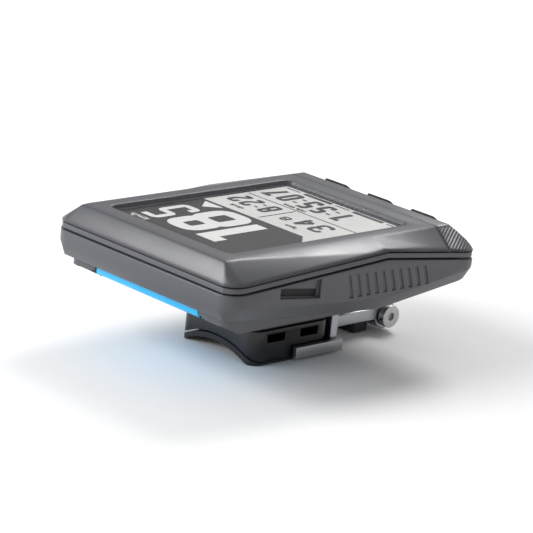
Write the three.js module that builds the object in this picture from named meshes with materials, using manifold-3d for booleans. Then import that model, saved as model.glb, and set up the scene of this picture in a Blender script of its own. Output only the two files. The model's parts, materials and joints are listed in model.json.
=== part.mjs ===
// A stem-mounted cycling computer: a sealed head unit with three keys, on a quarter-turn stem mount.
// Millimetres. +Z up, +Y the riding direction, +X the rider's right.
// The origin is on the plane that the mount's rubber pad rests on, under the head unit's middle.
import * as THREE from "three";
import { mergeVertices } from "three/addons/utils/BufferGeometryUtils.js";
import Module from "manifold-3d";

const wasm = await Module();
wasm.setup();

// ---- Driving dimensions ------------------------------------------------------------------------
// Head unit outside
const UNIT_LENGTH = 61; // front edge to key end
const UNIT_WIDTH = 46; // side to side at the seam
const UNIT_DEPTH = 12.2; // flat top to the lowest part of the belly
const CORNER_RADIUS = 3.6; // upright corners, in plan
const SIDE_FLARE = 4.6; // how far the side facets reach out, each side
const FRONT_FLARE = 2.3; // how far the front facet reaches out
const SEAM_FRONT = 3.4; // seam below the flat top, at the front edge
const SEAM_PEAK = 1.4; // and where it is highest
const SEAM_REAR = 4.4; // and at the key end
const PEAK_BACK = 36.9; // front edge to the seam's highest point
const BELLY_FRONT = 9.4; // underside below the flat top, at the front edge
const BELLY_REAR = 9.4; // and at the key end
const BELLY_BACK = 37; // front edge to the belly's lowest line
const BELLY_CHAMFER = 1.5; // width of the long chamfer along the belly
const BELLY_CHAMFER_RISE = 2.4; // and its height
const FRONT_BEVEL = 1.0; // width of the bevel along the front's lower edge
const FRONT_BEVEL_RISE = 1.9; // and its height
const TAIL_RISE = 2.2; // the key end's lower chamfer
const KEY_SLOPE = 4.6; // the key end's 45 degree face, run and drop

// Head unit walls, seam and window
const WALL = 1.5;
const GAP = 0.3; // clearance between separate pieces
const BAND_HEIGHT = 0.9; // seal band between the cover and the rear shell
const BAND_INSET = 0.25;
const CAP_LENGTH = 7.8; // key cap, from its split line to the key end
const SIDE_BEZEL = 3.8; // flat border beside the window
const FRONT_BORDER = 6.8; // front edge to window
const REAR_BEZEL = 4.7; // window to the key cap's split line
const WINDOW_RADIUS = 0.8;
const LENS_BORDER = 0.8; // lens outside the window, each side
const LENS_RADIUS = 1.4;
const LENS_RECESS = 0.05;
const LENS_THICK = 0.6;
const LENS_PLAY = 0.12; // lens to the rebate's upright walls
const GLUE_LINE = 0.1; // adhesive under the lens
const LCD_THICK = 1.1;
const BACKLIGHT_THICK = 0.8;
const FRAME_WALL = 0.9;
const FRAME_SHELF = 0.8; // shelf that carries the backlight
const FLEX_WIDTH = 18;
const FLEX_THICK = 0.2;
const FLEX_LAP = 1.2; // flex under the display's edge
const BOARD_THICK = 1.0;
const BOARD_DEPTH = 5.2; // flat top to the board's upper face
const BOARD_MARGIN = 0.8; // casing wall to the board's edge
const BOARD_RADIUS = 1.6;

// Case screws and their posts
const POST_RADIUS = 1.9;
const POST_FROM_SIDE = 4.4;
const POST_FROM_FRONT = 4.3;
const POST_FROM_SPLIT = 2.8;
const CAP_POST_BACK = 3.6; // split line to the key cap's posts
const CAP_POST_DROP = 2; // how far those reach below the seam
const CAP_SCREW_RISE = 0.8; // and how far their screws reach above it
const SCREW_RADIUS = 0.8;
const SCREW_HEAD_RADIUS = 1.5;
const SCREW_HEAD = 0.9;
const SMALL_PLAY = 0.2; // clearance round a small screw
const HEAD_SINK = 0.4; // extra depth of a head where the belly slopes
const DRIVE_RADIUS = 0.6; // six-sided drive in each head
const DRIVE_DEPTH = 0.4;
const EMBED = 0.2; // how deep an inner post starts inside the skin

// Underside plate, coin cell and sliding door
const PLATE_FROM_SIDE = 2.3; // plate inset from the sides
const PLATE_FROM_FRONT = 2.2; // and from the front edge
const PLATE_RADIUS = 2.4;
const PLATE_SLOPE = 2.4; // the plate's underside slopes up this far before its front
const PLATE_SLOPE_RISE = 1.2; // and rises this much
const CELL_RADIUS = 10; // a 20 mm coin cell
const CELL_THICK = 3.2;
const CELL_PLAY = 0.4;
const BAY_WALL = 1.4;
const DOOR_THICK = 1.2;
const DOOR_MARGIN = 2.7; // door beyond the cell's bay, each side
const DOOR_LIP = 1.2; // the door's upright front wall
const RAIL = 0.8; // tongue on each side of the door
const RAIL_THICK = 0.5;
const SEAL_MARGIN = 0.3; // bay to the seal's groove
const SEAL_WIDTH = 1.0;
const SEAL_THICK = 0.6;
const CELL_STEP = 0.5; // height of the cell's narrower cap
const CELL_CAP_INSET = 1.2;
const CONTACT_WIDTH = 4.4;
const CONTACT_THICK = 0.3;
const CONTACT_SPRING = 0.25; // thickness of the upper contact's strip
const CONTACT_PLAY = 0.4;
const STRIP_HALF = 1.6; // half the upper contact's width

// Main board and what hangs under it; "ahead" counts from the key cap's split line
const BOARD_FROM_SPLIT = 1.5;
const SHIELD = { left: -15.5, right: -2.5, ahead: 7, length: 11, height: 1.9, wall: 0.3 };
const RADIO = { left: -11.5, right: -6.5, ahead: 10, length: 5, height: 1.1 };
const MEMORY = { left: 3, right: 9, ahead: 7.5, length: 5, height: 0.9 };
const CRYSTAL = { left: 3, right: 8, ahead: 15.5, length: 1.8, height: 1.2 };
const CONNECTOR = { left: -4.2, right: 4.2, ahead: 2.3, length: 2.3, height: 1.1 };
const BUZZER = { radius: 4.2, x: 14, ahead: 20, height: 2.2, port: 0.8, portDepth: 0.8 };
const ANTENNA = { width: 1.8, length: 12, drop: 2, thick: 0.3, fromWall: 1.6 };

// Side recesses
const RECESS_LENGTH = 9.6;
const RECESS_HEIGHT = 3.4;
const RECESS_DEPTH = 0.7;
const RECESS_FROM_FRONT = 11.2;
const RECESS_DROP = 4.1; // flat top to the recess's upper edge, at its upright rear end
const RECESS_NOSE = 1.7; // height at its front
const RECESS_LIFT = 1.1; // how much higher its front end lies
const SLOT_HEIGHT = 1.5; // deep slot along the recess's lower edge
const SLOT_DEPTH = 1.0;
const SLOT_NOSE = 0.5; // length of the slot's pointed front end
const SLOT_INSET = 0.3; // slot to the recess's upright rear end

// Slanting grip grooves in the upright sides, behind the recess
const GRIP_COUNT = 10;
const GRIP_PITCH = 2.1;
const GRIP_FROM_FRONT = 28;
const GRIP_WIDTH = 1.0;
const GRIP_DEPTH = 0.25;
const GRIP_SLANT = 1.3; // how much further forward each one's upper end lies
const GRIP_TOP = 4.4; // flat top to the first groove's upper end
const GRIP_BOTTOM = 8.6; // and to its lower end
const GRIP_FALL = 0.08; // how much lower each further one's upper end lies

// Keys
const KEY_COUNT = 3;
const KEY_PITCH = 11;
const KEY_WIDTH = 6.4;
const KEY_HEIGHT = 4.2; // along the sloping face
const KEY_UP = 0.4; // key centre above the slope's middle, along the slope
const KEY_PROUD = 0.8;
const KEY_PLAY = 0.25;
const KEY_RADIUS = 1;
const KEY_FLANGE = 0.6; // flange thickness, and its reach beyond the key
const KEY_TRIM = 0.4; // flange cut back at the upper edge, under the cap's corner
const KEY_NUB = 0.7;
const KEY_NUB_RADIUS = 1.2;
const PLUNGER_RADIUS = 0.9;
const PLUNGER_LENGTH = 1.1;
const SWITCH_SIZE = 3.6;
const SWITCH_THICK = 1.6;
const SWITCH_DROP = 0.5; // plunger's end above the switch's body
const SWITCH_BORE_FLOOR = 0.5; // room under the plunger
const KEY_BOARD_THICK = 0.6;
const KEY_BOARD_HEIGHT = 4.0;
const KEY_BOARD_MARGIN = 1.6; // board beyond the outer switches
const WEDGE_FROM_WALL = 2; // rear wall to the wedge
const WEDGE_TRIM = 0.6; // wedge short of the key board's upper edge

// Quarter-turn boss and socket
const BOSS_Y = 1.2; // turning axis ahead of the head unit's middle
const NECK_RADIUS = 5.2;
const LUG_RADIUS = 7.6;
const LUG_HALF_ANGLE = 34; // degrees
const LUG_THICK = 1.4;
const BOSS_FLANGE_RADIUS = 6.5;
const BOSS_FLANGE = 0.5;
const TWIST_PLAY = 0.3;
const SOCKET_SIZE = 19; // square block, in plan
const SOCKET_RADIUS = 2.5;
const SOCKET_SCREW_INSET = 2.2;
const SOCKET_HEIGHT = 4.2;
const SOCKET_FLANGE = 1.4;
const RING_THICK = 0.6; // friction ring under the lugs
const HEAD_CLEARANCE = 1.1; // socket top to belly
const BOSS_SCREW_X = 3;
const BOSS_SCREW_BACK = 2.6;
const BOSS_POST_RADIUS = 2.1;
const BOSS_POST_HEIGHT = 3; // posts for its screws, above the belly
const BOSS_HEAD_DEPTH = 0.4; // screw heads below the boss's counterbore
const ENTRY_PLAY = 3; // degrees each side of a lug, where it drops in
const RING_OVERLAP = 0.6; // friction ring inside the neck's radius
const RING_LIFT = 0.2; // socket's base to the ring

// Saddle, pad and rear stay
const STEM_RADIUS = 17; // the stem that the pad fits
const PAD_SOLE = 1.5; // flat sole along each side of the pad
const PAD_THICK = 1.0;
const PAD_SKIRT = 1; // pad's edge above its thickness at the crown
const SADDLE_LIFT = 0.2; // saddle's underside above the sole
const SADDLE_TOP = 6.2;
const SADDLE_HOLE_FLOOR = 2.3;
const TIE_SLOT_WIDTH = 4.4;
const TIE_SLOT_HEIGHT = 1.5;
const TIE_SLOT_Y = 4.0;
const TIE_SLOT_Z = 4.65;
const STEM_SIDES = 96;
const STAY_PLATE = 1.6;
const STAY_PLATE_LOW = 1;
const STAY_PLATE_INSET = 0.3; // plate narrower than the block, each side
const STAY_PLATE_DROP = 0.5; // plate's top below the socket's top
const STAY_SCREW_X = 4;
const STAY_SCREW_DEPTH = 2.6; // screws' reach into the saddle
const STAY_HEAD_INSET = 0.3;
const STAY_WIDTH = 10;
const STAY_THICK = 2.1;
const STAY_Z = 3.35; // middle of the arm
const STAY_REACH = 18.7; // socket block to the eye's axis
const SKIRT_LOW = 0.4; // the stay's low skirt beside the saddle
const SKIRT_HEIGHT = 2.1;
const SKIRT_THICK = 1;
const EYE_RADIUS = 2.6;
const EYE_Z = 2.9;
const EYE_SCREW_RADIUS = 1.2;
const BOLT_HEAD_RADIUS = 2.1;
const BOLT_HEAD = 1.3;
const BOLT_DRIVE_RADIUS = 0.8;
const BOLT_DRIVE_DEPTH = 0.7;
const BOLT_END = 2; // bolt's reach past the eye
const NUT_THICK = 1.5;
const FOOT_LENGTH = 4;
const FOOT_INSET = 0.8; // foot narrower than the arm, each side
const FOOT_FROM_EYE = 0.6;

// ---- Places worked out from them ---------------------------------------------------------------
const FRONT = UNIT_LENGTH / 2;
const REAR = -UNIT_LENGTH / 2;
const SIDE = UNIT_WIDTH / 2;
const SOCKET_BASE = SADDLE_TOP + GAP;
const SOCKET_TOP = SOCKET_BASE + SOCKET_HEIGHT;
const BELLY = SOCKET_TOP + HEAD_CLEARANCE;
const TOP = BELLY + UNIT_DEPTH;
const COVER_UNDER = TOP - WALL;
const SPLIT = REAR + CAP_LENGTH;
const PEAK_Y = FRONT - PEAK_BACK;
const LOW_Y = FRONT - BELLY_BACK;
const BAND_TOP = GAP;
const BAND_BOTTOM = GAP + BAND_HEIGHT;
const SHELL_RIM = BAND_BOTTOM + GAP;

const WINDOW_X = SIDE - SIDE_FLARE - SIDE_BEZEL;
const WINDOW_FRONT = FRONT - FRONT_BORDER;
const WINDOW_REAR = SPLIT + REAR_BEZEL;
const WINDOW_Y = (WINDOW_FRONT + WINDOW_REAR) / 2;
const WINDOW_HALF = (WINDOW_FRONT - WINDOW_REAR) / 2;
const LENS_TOP = TOP - LENS_RECESS;
const LENS_UNDER = LENS_TOP - LENS_THICK;
const LCD_TOP = LENS_UNDER - GLUE_LINE;
const LCD_UNDER = LCD_TOP - LCD_THICK;
const LCD_X = WINDOW_X - GAP;
const LCD_Y = WINDOW_HALF - GAP;
const BACKLIGHT_TOP = LCD_UNDER - GAP;
const BACKLIGHT_UNDER = BACKLIGHT_TOP - BACKLIGHT_THICK;
const BOARD_TOP = TOP - BOARD_DEPTH;
const BOARD_UNDER = BOARD_TOP - BOARD_THICK;
const PART_TOP = BOARD_UNDER - GAP; // what hangs under the board

const POST_X = SIDE - POST_FROM_SIDE;
const POST_FRONT_Y = FRONT - POST_FROM_FRONT;
const POST_REAR_Y = SPLIT + POST_FROM_SPLIT;
const CAP_POST_Y = SPLIT - CAP_POST_BACK;

const PLATE_FRONT = FRONT - PLATE_FROM_FRONT;
const BAY_RADIUS = CELL_RADIUS + CELL_PLAY;
const BAY_Y = PLATE_FRONT - DOOR_LIP - GAP - BAY_WALL - BAY_RADIUS;
const DOOR_HALF = BAY_RADIUS + DOOR_MARGIN;
const DOOR_REAR = BAY_Y - BAY_RADIUS - BAY_WALL;
const DOOR_TOP = BELLY + DOOR_THICK;
const SEAL_BASE = DOOR_TOP + GAP;
const CELL_BASE = DOOR_TOP + GAP;
const CELL_TOP = CELL_BASE + CELL_THICK;

const RING_BASE = SOCKET_BASE + RING_LIFT;
const LUG_BASE = RING_BASE + RING_THICK + GAP;
const LUG_TOP = LUG_BASE + LUG_THICK;
const BOSS_TOP = BELLY - GAP;

const BLOCK_HALF = SOCKET_SIZE / 2;
const BLOCK_REAR = BOSS_Y - BLOCK_HALF;
const SOLE_X = BLOCK_HALF - PAD_SOLE;
const STEM_Z = -Math.sqrt(STEM_RADIUS ** 2 - SOLE_X ** 2);
const EYE_Y = BLOCK_REAR - STAY_REACH;

// ---- Solids ------------------------------------------------------------------------------------
const FINE = 40;
const COARSE = 16;
const FAR = 60; // past every piece, for cutting

function solid(geometry) {
  const bare = geometry.clone();
  bare.deleteAttribute("normal");
  bare.deleteAttribute("uv");
  const merged = mergeVertices(bare, 1e-4);
  return new wasm.Manifold(
    new wasm.Mesh({
      numProp: 3,
      vertProperties: new Float32Array(merged.attributes.position.array),
      triVerts: new Uint32Array(merged.index.array),
    }),
  );
}

function shapeOf(points) {
  return new THREE.Shape(points.map(([a, b]) => new THREE.Vector2(a, b)));
}

// A flat outline, given in x and y, made into a slab from low to high.
function slab(shape, low, high) {
  const geometry = new THREE.ExtrudeGeometry(shape, {
    depth: high - low,
    bevelEnabled: false,
    curveSegments: 5,
  });
  geometry.translate(0, 0, low);
  return solid(geometry);
}

// A side view, given in y and z, carried from x = low to x = high.
function sideways(points, low, high) {
  const geometry = new THREE.ExtrudeGeometry(shapeOf(points), {
    depth: high - low,
    bevelEnabled: false,
  });
  const turn = new THREE.Matrix4().makeBasis(
    new THREE.Vector3(0, 1, 0),
    new THREE.Vector3(0, 0, 1),
    new THREE.Vector3(1, 0, 0),
  );
  geometry.applyMatrix4(turn);
  geometry.translate(low, 0, 0);
  return solid(geometry);
}

function block(x0, x1, y0, y1, z0, z1) {
  const geometry = new THREE.BoxGeometry(x1 - x0, y1 - y0, z1 - z0);
  geometry.translate((x0 + x1) / 2, (y0 + y1) / 2, (z0 + z1) / 2);
  return solid(geometry);
}

// An upright cylinder at x, y.
function rod(radius, x, y, z0, z1, sides = COARSE) {
  const geometry = new THREE.CylinderGeometry(radius, radius, z1 - z0, sides);
  geometry.rotateX(Math.PI / 2);
  geometry.translate(x, y, (z0 + z1) / 2);
  return solid(geometry);
}

// A level cylinder along X.
function axle(radius, x0, x1, y, z, sides = COARSE) {
  const geometry = new THREE.CylinderGeometry(radius, radius, x1 - x0, sides);
  geometry.rotateZ(Math.PI / 2);
  geometry.translate((x0 + x1) / 2, y, z);
  return solid(geometry);
}

// A level cylinder along Y.
function level(radius, x, y0, y1, z, sides = COARSE) {
  const geometry = new THREE.CylinderGeometry(radius, radius, y1 - y0, sides);
  geometry.translate(x, (y0 + y1) / 2, z);
  return solid(geometry);
}

// A rectangle with round corners, in plan.
function roundedRect(x0, x1, y0, y1, radius) {
  const shape = new THREE.Shape();
  shape.moveTo(x0 + radius, y0);
  shape.lineTo(x1 - radius, y0);
  shape.absarc(x1 - radius, y0 + radius, radius, -Math.PI / 2, 0, false);
  shape.lineTo(x1, y1 - radius);
  shape.absarc(x1 - radius, y1 - radius, radius, 0, Math.PI / 2, false);
  shape.lineTo(x0 + radius, y1);
  shape.absarc(x0 + radius, y1 - radius, radius, Math.PI / 2, Math.PI, false);
  shape.lineTo(x0, y0 + radius);
  shape.absarc(x0 + radius, y0 + radius, radius, Math.PI, 1.5 * Math.PI, false);
  return shape;
}

// A flat ring round x, y.
function ring(inner, outer, x, y, z0, z1, sides = FINE) {
  return rod(outer, x, y, z0, z1, sides).subtract(rod(inner, x, y, z0 - 1, z1 + 1, sides));
}

function joined(solids) {
  return solids.reduce((sum, next) => sum.add(next));
}

// ---- The head unit's outer form ----------------------------------------------------------------
// Height of the seam line at y: two straight runs that meet at the peak.
function seamZ(y) {
  if (y > PEAK_Y) {
    return TOP - THREE.MathUtils.mapLinear(y, PEAK_Y, FRONT, SEAM_PEAK, SEAM_FRONT);
  }
  return TOP - THREE.MathUtils.mapLinear(y, PEAK_Y, REAR, SEAM_PEAK, SEAM_REAR);
}

// Height of the belly at y: two straight runs that meet at its lowest line.
function bellyZ(y) {
  if (y > LOW_Y) {
    return TOP - THREE.MathUtils.mapLinear(y, LOW_Y, FRONT, UNIT_DEPTH, BELLY_FRONT);
  }
  return TOP - THREE.MathUtils.mapLinear(y, LOW_Y, REAR, UNIT_DEPTH, BELLY_REAR);
}

// Half the width at y, less where an upright corner is round.
function halfWidth(y) {
  const into = Math.abs(y) - (FRONT - CORNER_RADIUS);
  if (into <= 0) {
    return SIDE;
  }
  const arc = Math.sqrt(Math.max(CORNER_RADIUS ** 2 - into ** 2, 0));
  return SIDE - CORNER_RADIUS + arc;
}

// A convex outline moved in by an amount, edge by edge. The points run anticlockwise.
// An edge that is too short to be left after the move is dropped, and its neighbours meet.
function insetOutline(points, amount) {
  const edges = points.map(([ax, ay], i) => {
    const [bx, by] = points[(i + 1) % points.length];
    const length = Math.hypot(bx - ax, by - ay);
    const nx = -(by - ay) / length;
    const ny = (bx - ax) / length;
    return { nx, ny, d: nx * ax + ny * ay + amount };
  });
  const moved = edges.map((edge, i) => meeting(edges[(i + edges.length - 1) % edges.length], edge));
  const gone = edges.findIndex((edge, i) => {
    const [ax, ay] = moved[i];
    const [bx, by] = moved[(i + 1) % moved.length];
    return (bx - ax) * edge.ny - (by - ay) * edge.nx <= 0;
  });
  if (gone < 0) {
    return moved;
  }
  const left = edges.filter((_, i) => i !== gone);
  return left.map((edge, i) => meeting(left[(i + left.length - 1) % left.length], edge));
}

// The point where two edge lines cross.
function meeting(a, b) {
  const det = a.nx * b.ny - a.ny * b.nx;
  return [(a.d * b.ny - a.ny * b.d) / det, (a.nx * b.d - a.d * b.nx) / det];
}

// The cross-section at y, in x and z: flat top, side facets, upright sides, belly chamfers, belly.
function section(y) {
  const w = halfWidth(y);
  const low = bellyZ(y);
  const right = [
    [w - BELLY_CHAMFER, low],
    [w, low + BELLY_CHAMFER_RISE],
    [w, seamZ(y)],
    [w - SIDE_FLARE, TOP],
  ];
  const left = right.map(([x, z]) => [-x, z]).reverse();
  return [...right, ...left];
}

// The cross-sections joined into one closed form, moved in by an amount all round.
function loft(inset) {
  const steps = 4;
  const stations = [PEAK_Y, LOW_Y];
  for (let i = 0; i <= steps; i++) {
    const along = CORNER_RADIUS * (1 - Math.sin((i / steps) * (Math.PI / 2)));
    stations.push(FRONT - along, REAR + along);
  }
  const kept = stations.filter((y) => y < FRONT - inset - 0.05 && y > REAR + inset + 0.05);
  kept.push(FRONT - inset, REAR + inset);
  const ys = [...new Set(kept)].sort((a, b) => a - b);
  const rings = ys.map((y) => insetOutline(section(y), inset));
  const count = rings[0].length;
  const positions = rings.flatMap((points, i) => points.flatMap(([x, z]) => [x, ys[i], z]));
  const faces = [];
  for (let i = 0; i + 1 < rings.length; i++) {
    for (let j = 0; j < count; j++) {
      const a = i * count + j;
      const b = i * count + ((j + 1) % count);
      faces.push(a, a + count, b, b, a + count, b + count);
    }
  }
  const last = (rings.length - 1) * count;
  for (let j = 1; j + 1 < count; j++) {
    faces.push(0, j, j + 1);
    faces.push(last, last + j + 1, last + j);
  }
  const geometry = new THREE.BufferGeometry();
  geometry.setAttribute("position", new THREE.Float32BufferAttribute(positions, 3));
  geometry.setIndex(faces);
  return solid(geometry);
}

// The side view that gives the front facet, the front bevel, the sloping key end and its chamfer.
function sideView(inset) {
  const outline = [
    [REAR, TOP - BELLY_REAR + TAIL_RISE],
    [REAR + TAIL_RISE, bellyZ(REAR + TAIL_RISE)],
    [LOW_Y, BELLY],
    [FRONT - FRONT_BEVEL, bellyZ(FRONT - FRONT_BEVEL)],
    [FRONT, TOP - BELLY_FRONT + FRONT_BEVEL_RISE],
    [FRONT, TOP - SEAM_FRONT],
    [FRONT - FRONT_FLARE, TOP],
    [REAR + KEY_SLOPE, TOP],
    [REAR, TOP - KEY_SLOPE],
  ];
  return sideways(insetOutline(outline, inset), -FAR, FAR);
}

function headForm(inset) {
  return loft(inset).intersect(sideView(inset));
}

const OUTSIDE = headForm(0);
const CAVITY = headForm(WALL);

// Everything above the seam line, or above a line so much lower.
function aboveSeam(lower) {
  const line = [-FAR, REAR, PEAK_Y, FRONT, FAR].map((y) => {
    const inside = Math.min(Math.max(y, REAR), FRONT);
    return [y, seamZ(inside) - lower];
  });
  return sideways([...line, [FAR, FAR], [-FAR, FAR]], -FAR, FAR);
}

const CASE_POSTS = [
  [-POST_X, POST_FRONT_Y],
  [POST_X, POST_FRONT_Y],
  [-POST_X, POST_REAR_Y],
  [POST_X, POST_REAR_Y],
];
const CAP_POSTS = [
  [-POST_X, CAP_POST_Y],
  [POST_X, CAP_POST_Y],
];

// Where a case screw's head sits: just inside the underside at y.
function headZ(y) {
  return y > LOW_Y ? BELLY + PLATE_SLOPE_RISE : bellyZ(y) + GAP + HEAD_SINK;
}

// ---- Head unit casings -------------------------------------------------------------------------
// What lies above the seam, from y0 to y1.
function upperForm(y0, y1) {
  return OUTSIDE.intersect(aboveSeam(0)).intersect(block(-FAR, FAR, y0, y1, 0, FAR));
}

// A post under the upper form, from a height up to the skin.
function upperPost(x, y, low) {
  return rod(POST_RADIUS, x, y, low, TOP).intersect(OUTSIDE);
}

function topCover() {
  const skin = upperForm(SPLIT + GAP / 2, FAR).subtract(CAVITY);
  const posts = CASE_POSTS.map(([x, y]) => upperPost(x, y, BOARD_TOP + GAP));
  const holes = CASE_POSTS.map(([x, y]) => rod(SCREW_RADIUS + GAP, x, y, 0, COVER_UNDER - GAP));
  const rebate = windowOutline(LENS_BORDER + LENS_PLAY, LENS_RADIUS + LENS_PLAY);
  return joined([skin, ...posts]).subtract(joined([
    ...holes,
    slab(windowOutline(0, WINDOW_RADIUS), 0, FAR),
    slab(rebate, LENS_UNDER - GLUE_LINE, FAR),
  ]));
}

function keyCap() {
  const skin = upperForm(-FAR, SPLIT - GAP / 2).subtract(CAVITY);
  const seam = seamZ(CAP_POST_Y);
  const posts = CAP_POSTS.map(([x, y]) => upperPost(x, y, seam - CAP_POST_DROP));
  const holes = CAP_POSTS.map(([x, y]) => {
    return rod(SCREW_RADIUS + GAP, x, y, 0, seam + CAP_SCREW_RISE + GAP);
  });
  const slots = keyPlaces().map((x) => keySlot(x));
  return joined([skin, ...posts]).subtract(joined([...holes, ...slots]));
}

// The band follows the seam all round, and steps back from the posts, the lens and the keys.
function sealBand() {
  const between = aboveSeam(BAND_BOTTOM).subtract(aboveSeam(BAND_TOP));
  const middle = SIDE - SIDE_FLARE;
  const keySpan = (KEY_PITCH * (KEY_COUNT - 1) + KEY_WIDTH) / 2 + KEY_FLANGE + GAP;
  const keyLow = KEY_UP - KEY_HEIGHT / 2 - KEY_FLANGE - 2 * GAP;
  return headForm(BAND_INSET).intersect(between).subtract(joined([
    headForm(WALL + BAND_INSET),
    block(-middle, middle, SPLIT, FRONT - FRONT_FLARE - 2 * WALL, 0, FAR),
    onSlope(block(-keySpan, keySpan, keyLow, KEY_SLOPE, -KEY_SLOPE, -WALL), 0),
    ...keyPlaces().map((x) => keySlot(x)),
    ...[...CASE_POSTS, ...CAP_POSTS].map(([x, y]) => rod(POST_RADIUS + GAP, x, y, 0, FAR)),
  ]));
}

// A shape in the side view that reaches so deep into one side of the casing.
function sideCut(side, outline, depth) {
  const depths = [side * (SIDE - depth), side * (SIDE + 1)];
  return sideways(outline, Math.min(...depths), Math.max(...depths));
}

// The recess in one side: tall at its upright rear end, low at its front, with a slot along it.
function sideRecess(side) {
  const front = FRONT - RECESS_FROM_FRONT;
  const rear = front - RECESS_LENGTH;
  const high = TOP - RECESS_DROP;
  const low = high - RECESS_HEIGHT;
  const nose = low + RECESS_LIFT;
  const shallow = [
    [front, nose + RECESS_NOSE],
    [front, nose],
    [rear, low],
    [rear, high],
  ];
  const slot = [
    [front - SLOT_NOSE, nose + SLOT_HEIGHT],
    [front, nose + SLOT_HEIGHT / 2],
    [front - SLOT_NOSE, nose + SMALL_PLAY],
    [rear + SLOT_INSET, low + SMALL_PLAY],
    [rear + SLOT_INSET, low + SLOT_HEIGHT],
  ];
  return sideCut(side, shallow, RECESS_DEPTH).add(sideCut(side, slot, SLOT_DEPTH));
}

function gripGrooves(side) {
  const grooves = Array.from({ length: GRIP_COUNT }, (_, i) => {
    const front = FRONT - GRIP_FROM_FRONT - i * GRIP_PITCH;
    const low = TOP - GRIP_BOTTOM;
    const high = TOP - GRIP_TOP - i * GRIP_FALL;
    const outline = [
      [front, low],
      [front + GRIP_SLANT, high],
      [front + GRIP_SLANT - GRIP_WIDTH, high],
      [front - GRIP_WIDTH, low],
    ];
    return sideCut(side, outline, GRIP_DEPTH);
  });
  return joined(grooves);
}

// What the underside plate and the door lose along their front, so that only a low lip shows.
function underSlope() {
  const start = PLATE_FRONT - PLATE_SLOPE;
  const outline = [
    [start, BELLY],
    [start, 0],
    [FRONT, 0],
    [FRONT, BELLY + (PLATE_SLOPE_RISE / PLATE_SLOPE) * (FRONT - start)],
  ];
  return sideways(outline, -SIDE, SIDE);
}

function rearShell() {
  const below = OUTSIDE.subtract(aboveSeam(SHELL_RIM));
  const x = SIDE - PLATE_FROM_SIDE;
  const outline = roundedRect(-x, x, LOW_Y, PLATE_FRONT, PLATE_RADIUS);
  const plate = slab(outline, BELLY, TOP - BELLY_FRONT + EMBED).subtract(underSlope());
  const kept = joined([
    below.add(plate).subtract(CAVITY),
    rod(BAY_RADIUS + BAY_WALL, 0, BAY_Y, BELLY + EMBED, CELL_TOP + GAP, FINE),
    ...CASE_POSTS.map(([px, py]) => lowerPost(px, py, BOARD_UNDER - GAP)),
    ...CAP_POSTS.map(([px, py]) => lowerPost(px, py, seamZ(py) - CAP_POST_DROP - 2 * GAP)),
    ...[-1, 1].map((s) => bossScrew(s, BOSS_POST_RADIUS, BELLY + EMBED, BELLY + BOSS_POST_HEIGHT)),
  ]);
  const groove = BAY_RADIUS + SEAL_MARGIN;
  const holeTop = BELLY + BOSS_POST_HEIGHT - HEAD_SINK;
  return kept.subtract(joined([
    rod(BAY_RADIUS, 0, BAY_Y, 0, FAR, FINE),
    ring(groove, groove + SEAL_WIDTH + GAP, 0, BAY_Y, BELLY, SEAL_BASE + SEAL_THICK + GAP),
    contactSlot(),
    doorSpace(),
    ...screwHoles(),
    ...[-1, 1].map((s) => bossScrew(s, SCREW_RADIUS + SMALL_PLAY, 0, holeTop)),
    ...[-1, 1].map((s) => sideRecess(s)),
    ...[-1, 1].map((s) => gripGrooves(s)),
  ]));
}

// A post on the shell's floor, up to a height.
function lowerPost(x, y, top) {
  return rod(POST_RADIUS, x, y, bellyZ(y) + EMBED, top);
}

// Holes for the case screws, with a counterbore for each head.
function screwHoles() {
  return [...CASE_POSTS, ...CAP_POSTS].map(([x, y]) => {
    const shaft = rod(SCREW_RADIUS + GAP, x, y, 0, FAR);
    const head = rod(SCREW_HEAD_RADIUS + GAP, x, y, 0, headZ(y) + SCREW_HEAD + GAP);
    return shaft.add(head);
  });
}

function caseScrews() {
  const posts = [
    ...CASE_POSTS.map(([x, y]) => [x, y, COVER_UNDER - 2 * GAP]),
    ...CAP_POSTS.map(([x, y]) => [x, y, seamZ(y) + CAP_SCREW_RISE]),
  ];
  return posts.map(([x, y, end]) => {
    const low = headZ(y);
    const drive = rod(DRIVE_RADIUS, x, y, 0, low + DRIVE_DEPTH, 6);
    const head = rod(SCREW_HEAD_RADIUS, x, y, low, low + SCREW_HEAD).subtract(drive);
    return head.add(rod(SCREW_RADIUS, x, y, low + SCREW_HEAD / 2, end));
  });
}

// ---- Sliding cell door -------------------------------------------------------------------------
// The door's plate and its two tongues, grown all round for the space that the door runs in.
// The space is open below and in front; the door itself ends at the plate's front.
function doorForm(grow) {
  const half = DOOR_HALF + grow;
  const rear = DOOR_REAR - grow;
  const open = grow > 0 ? 1 : 0;
  const tongueFront = open ? PLATE_FRONT + open : PLATE_FRONT - DOOR_LIP;
  const tongueLow = DOOR_TOP - RAIL_THICK - grow;
  const tongues = block(-half - RAIL, half + RAIL, rear, tongueFront, tongueLow, DOOR_TOP + grow);
  return tongues.add(block(-half, half, rear, PLATE_FRONT + open, BELLY - open, DOOR_TOP + grow));
}

// The door's upright front wall, from y0 to y1.
function doorLip(grow, y0, y1, low, high) {
  const half = DOOR_HALF + grow;
  return block(-half, half, y0, y1, low, high);
}

function doorSpace() {
  const lip = doorLip(GAP, PLATE_FRONT - DOOR_LIP - GAP, PLATE_FRONT + 1, BELLY - 1, bellyZ(PLATE_FRONT));
  return doorForm(GAP).add(lip);
}

function cellDoor() {
  const top = bellyZ(FRONT - FRONT_BEVEL) - GAP;
  const lip = doorLip(0, PLATE_FRONT - DOOR_LIP, PLATE_FRONT, BELLY, top);
  return doorForm(0).add(lip).subtract(underSlope());
}

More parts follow.
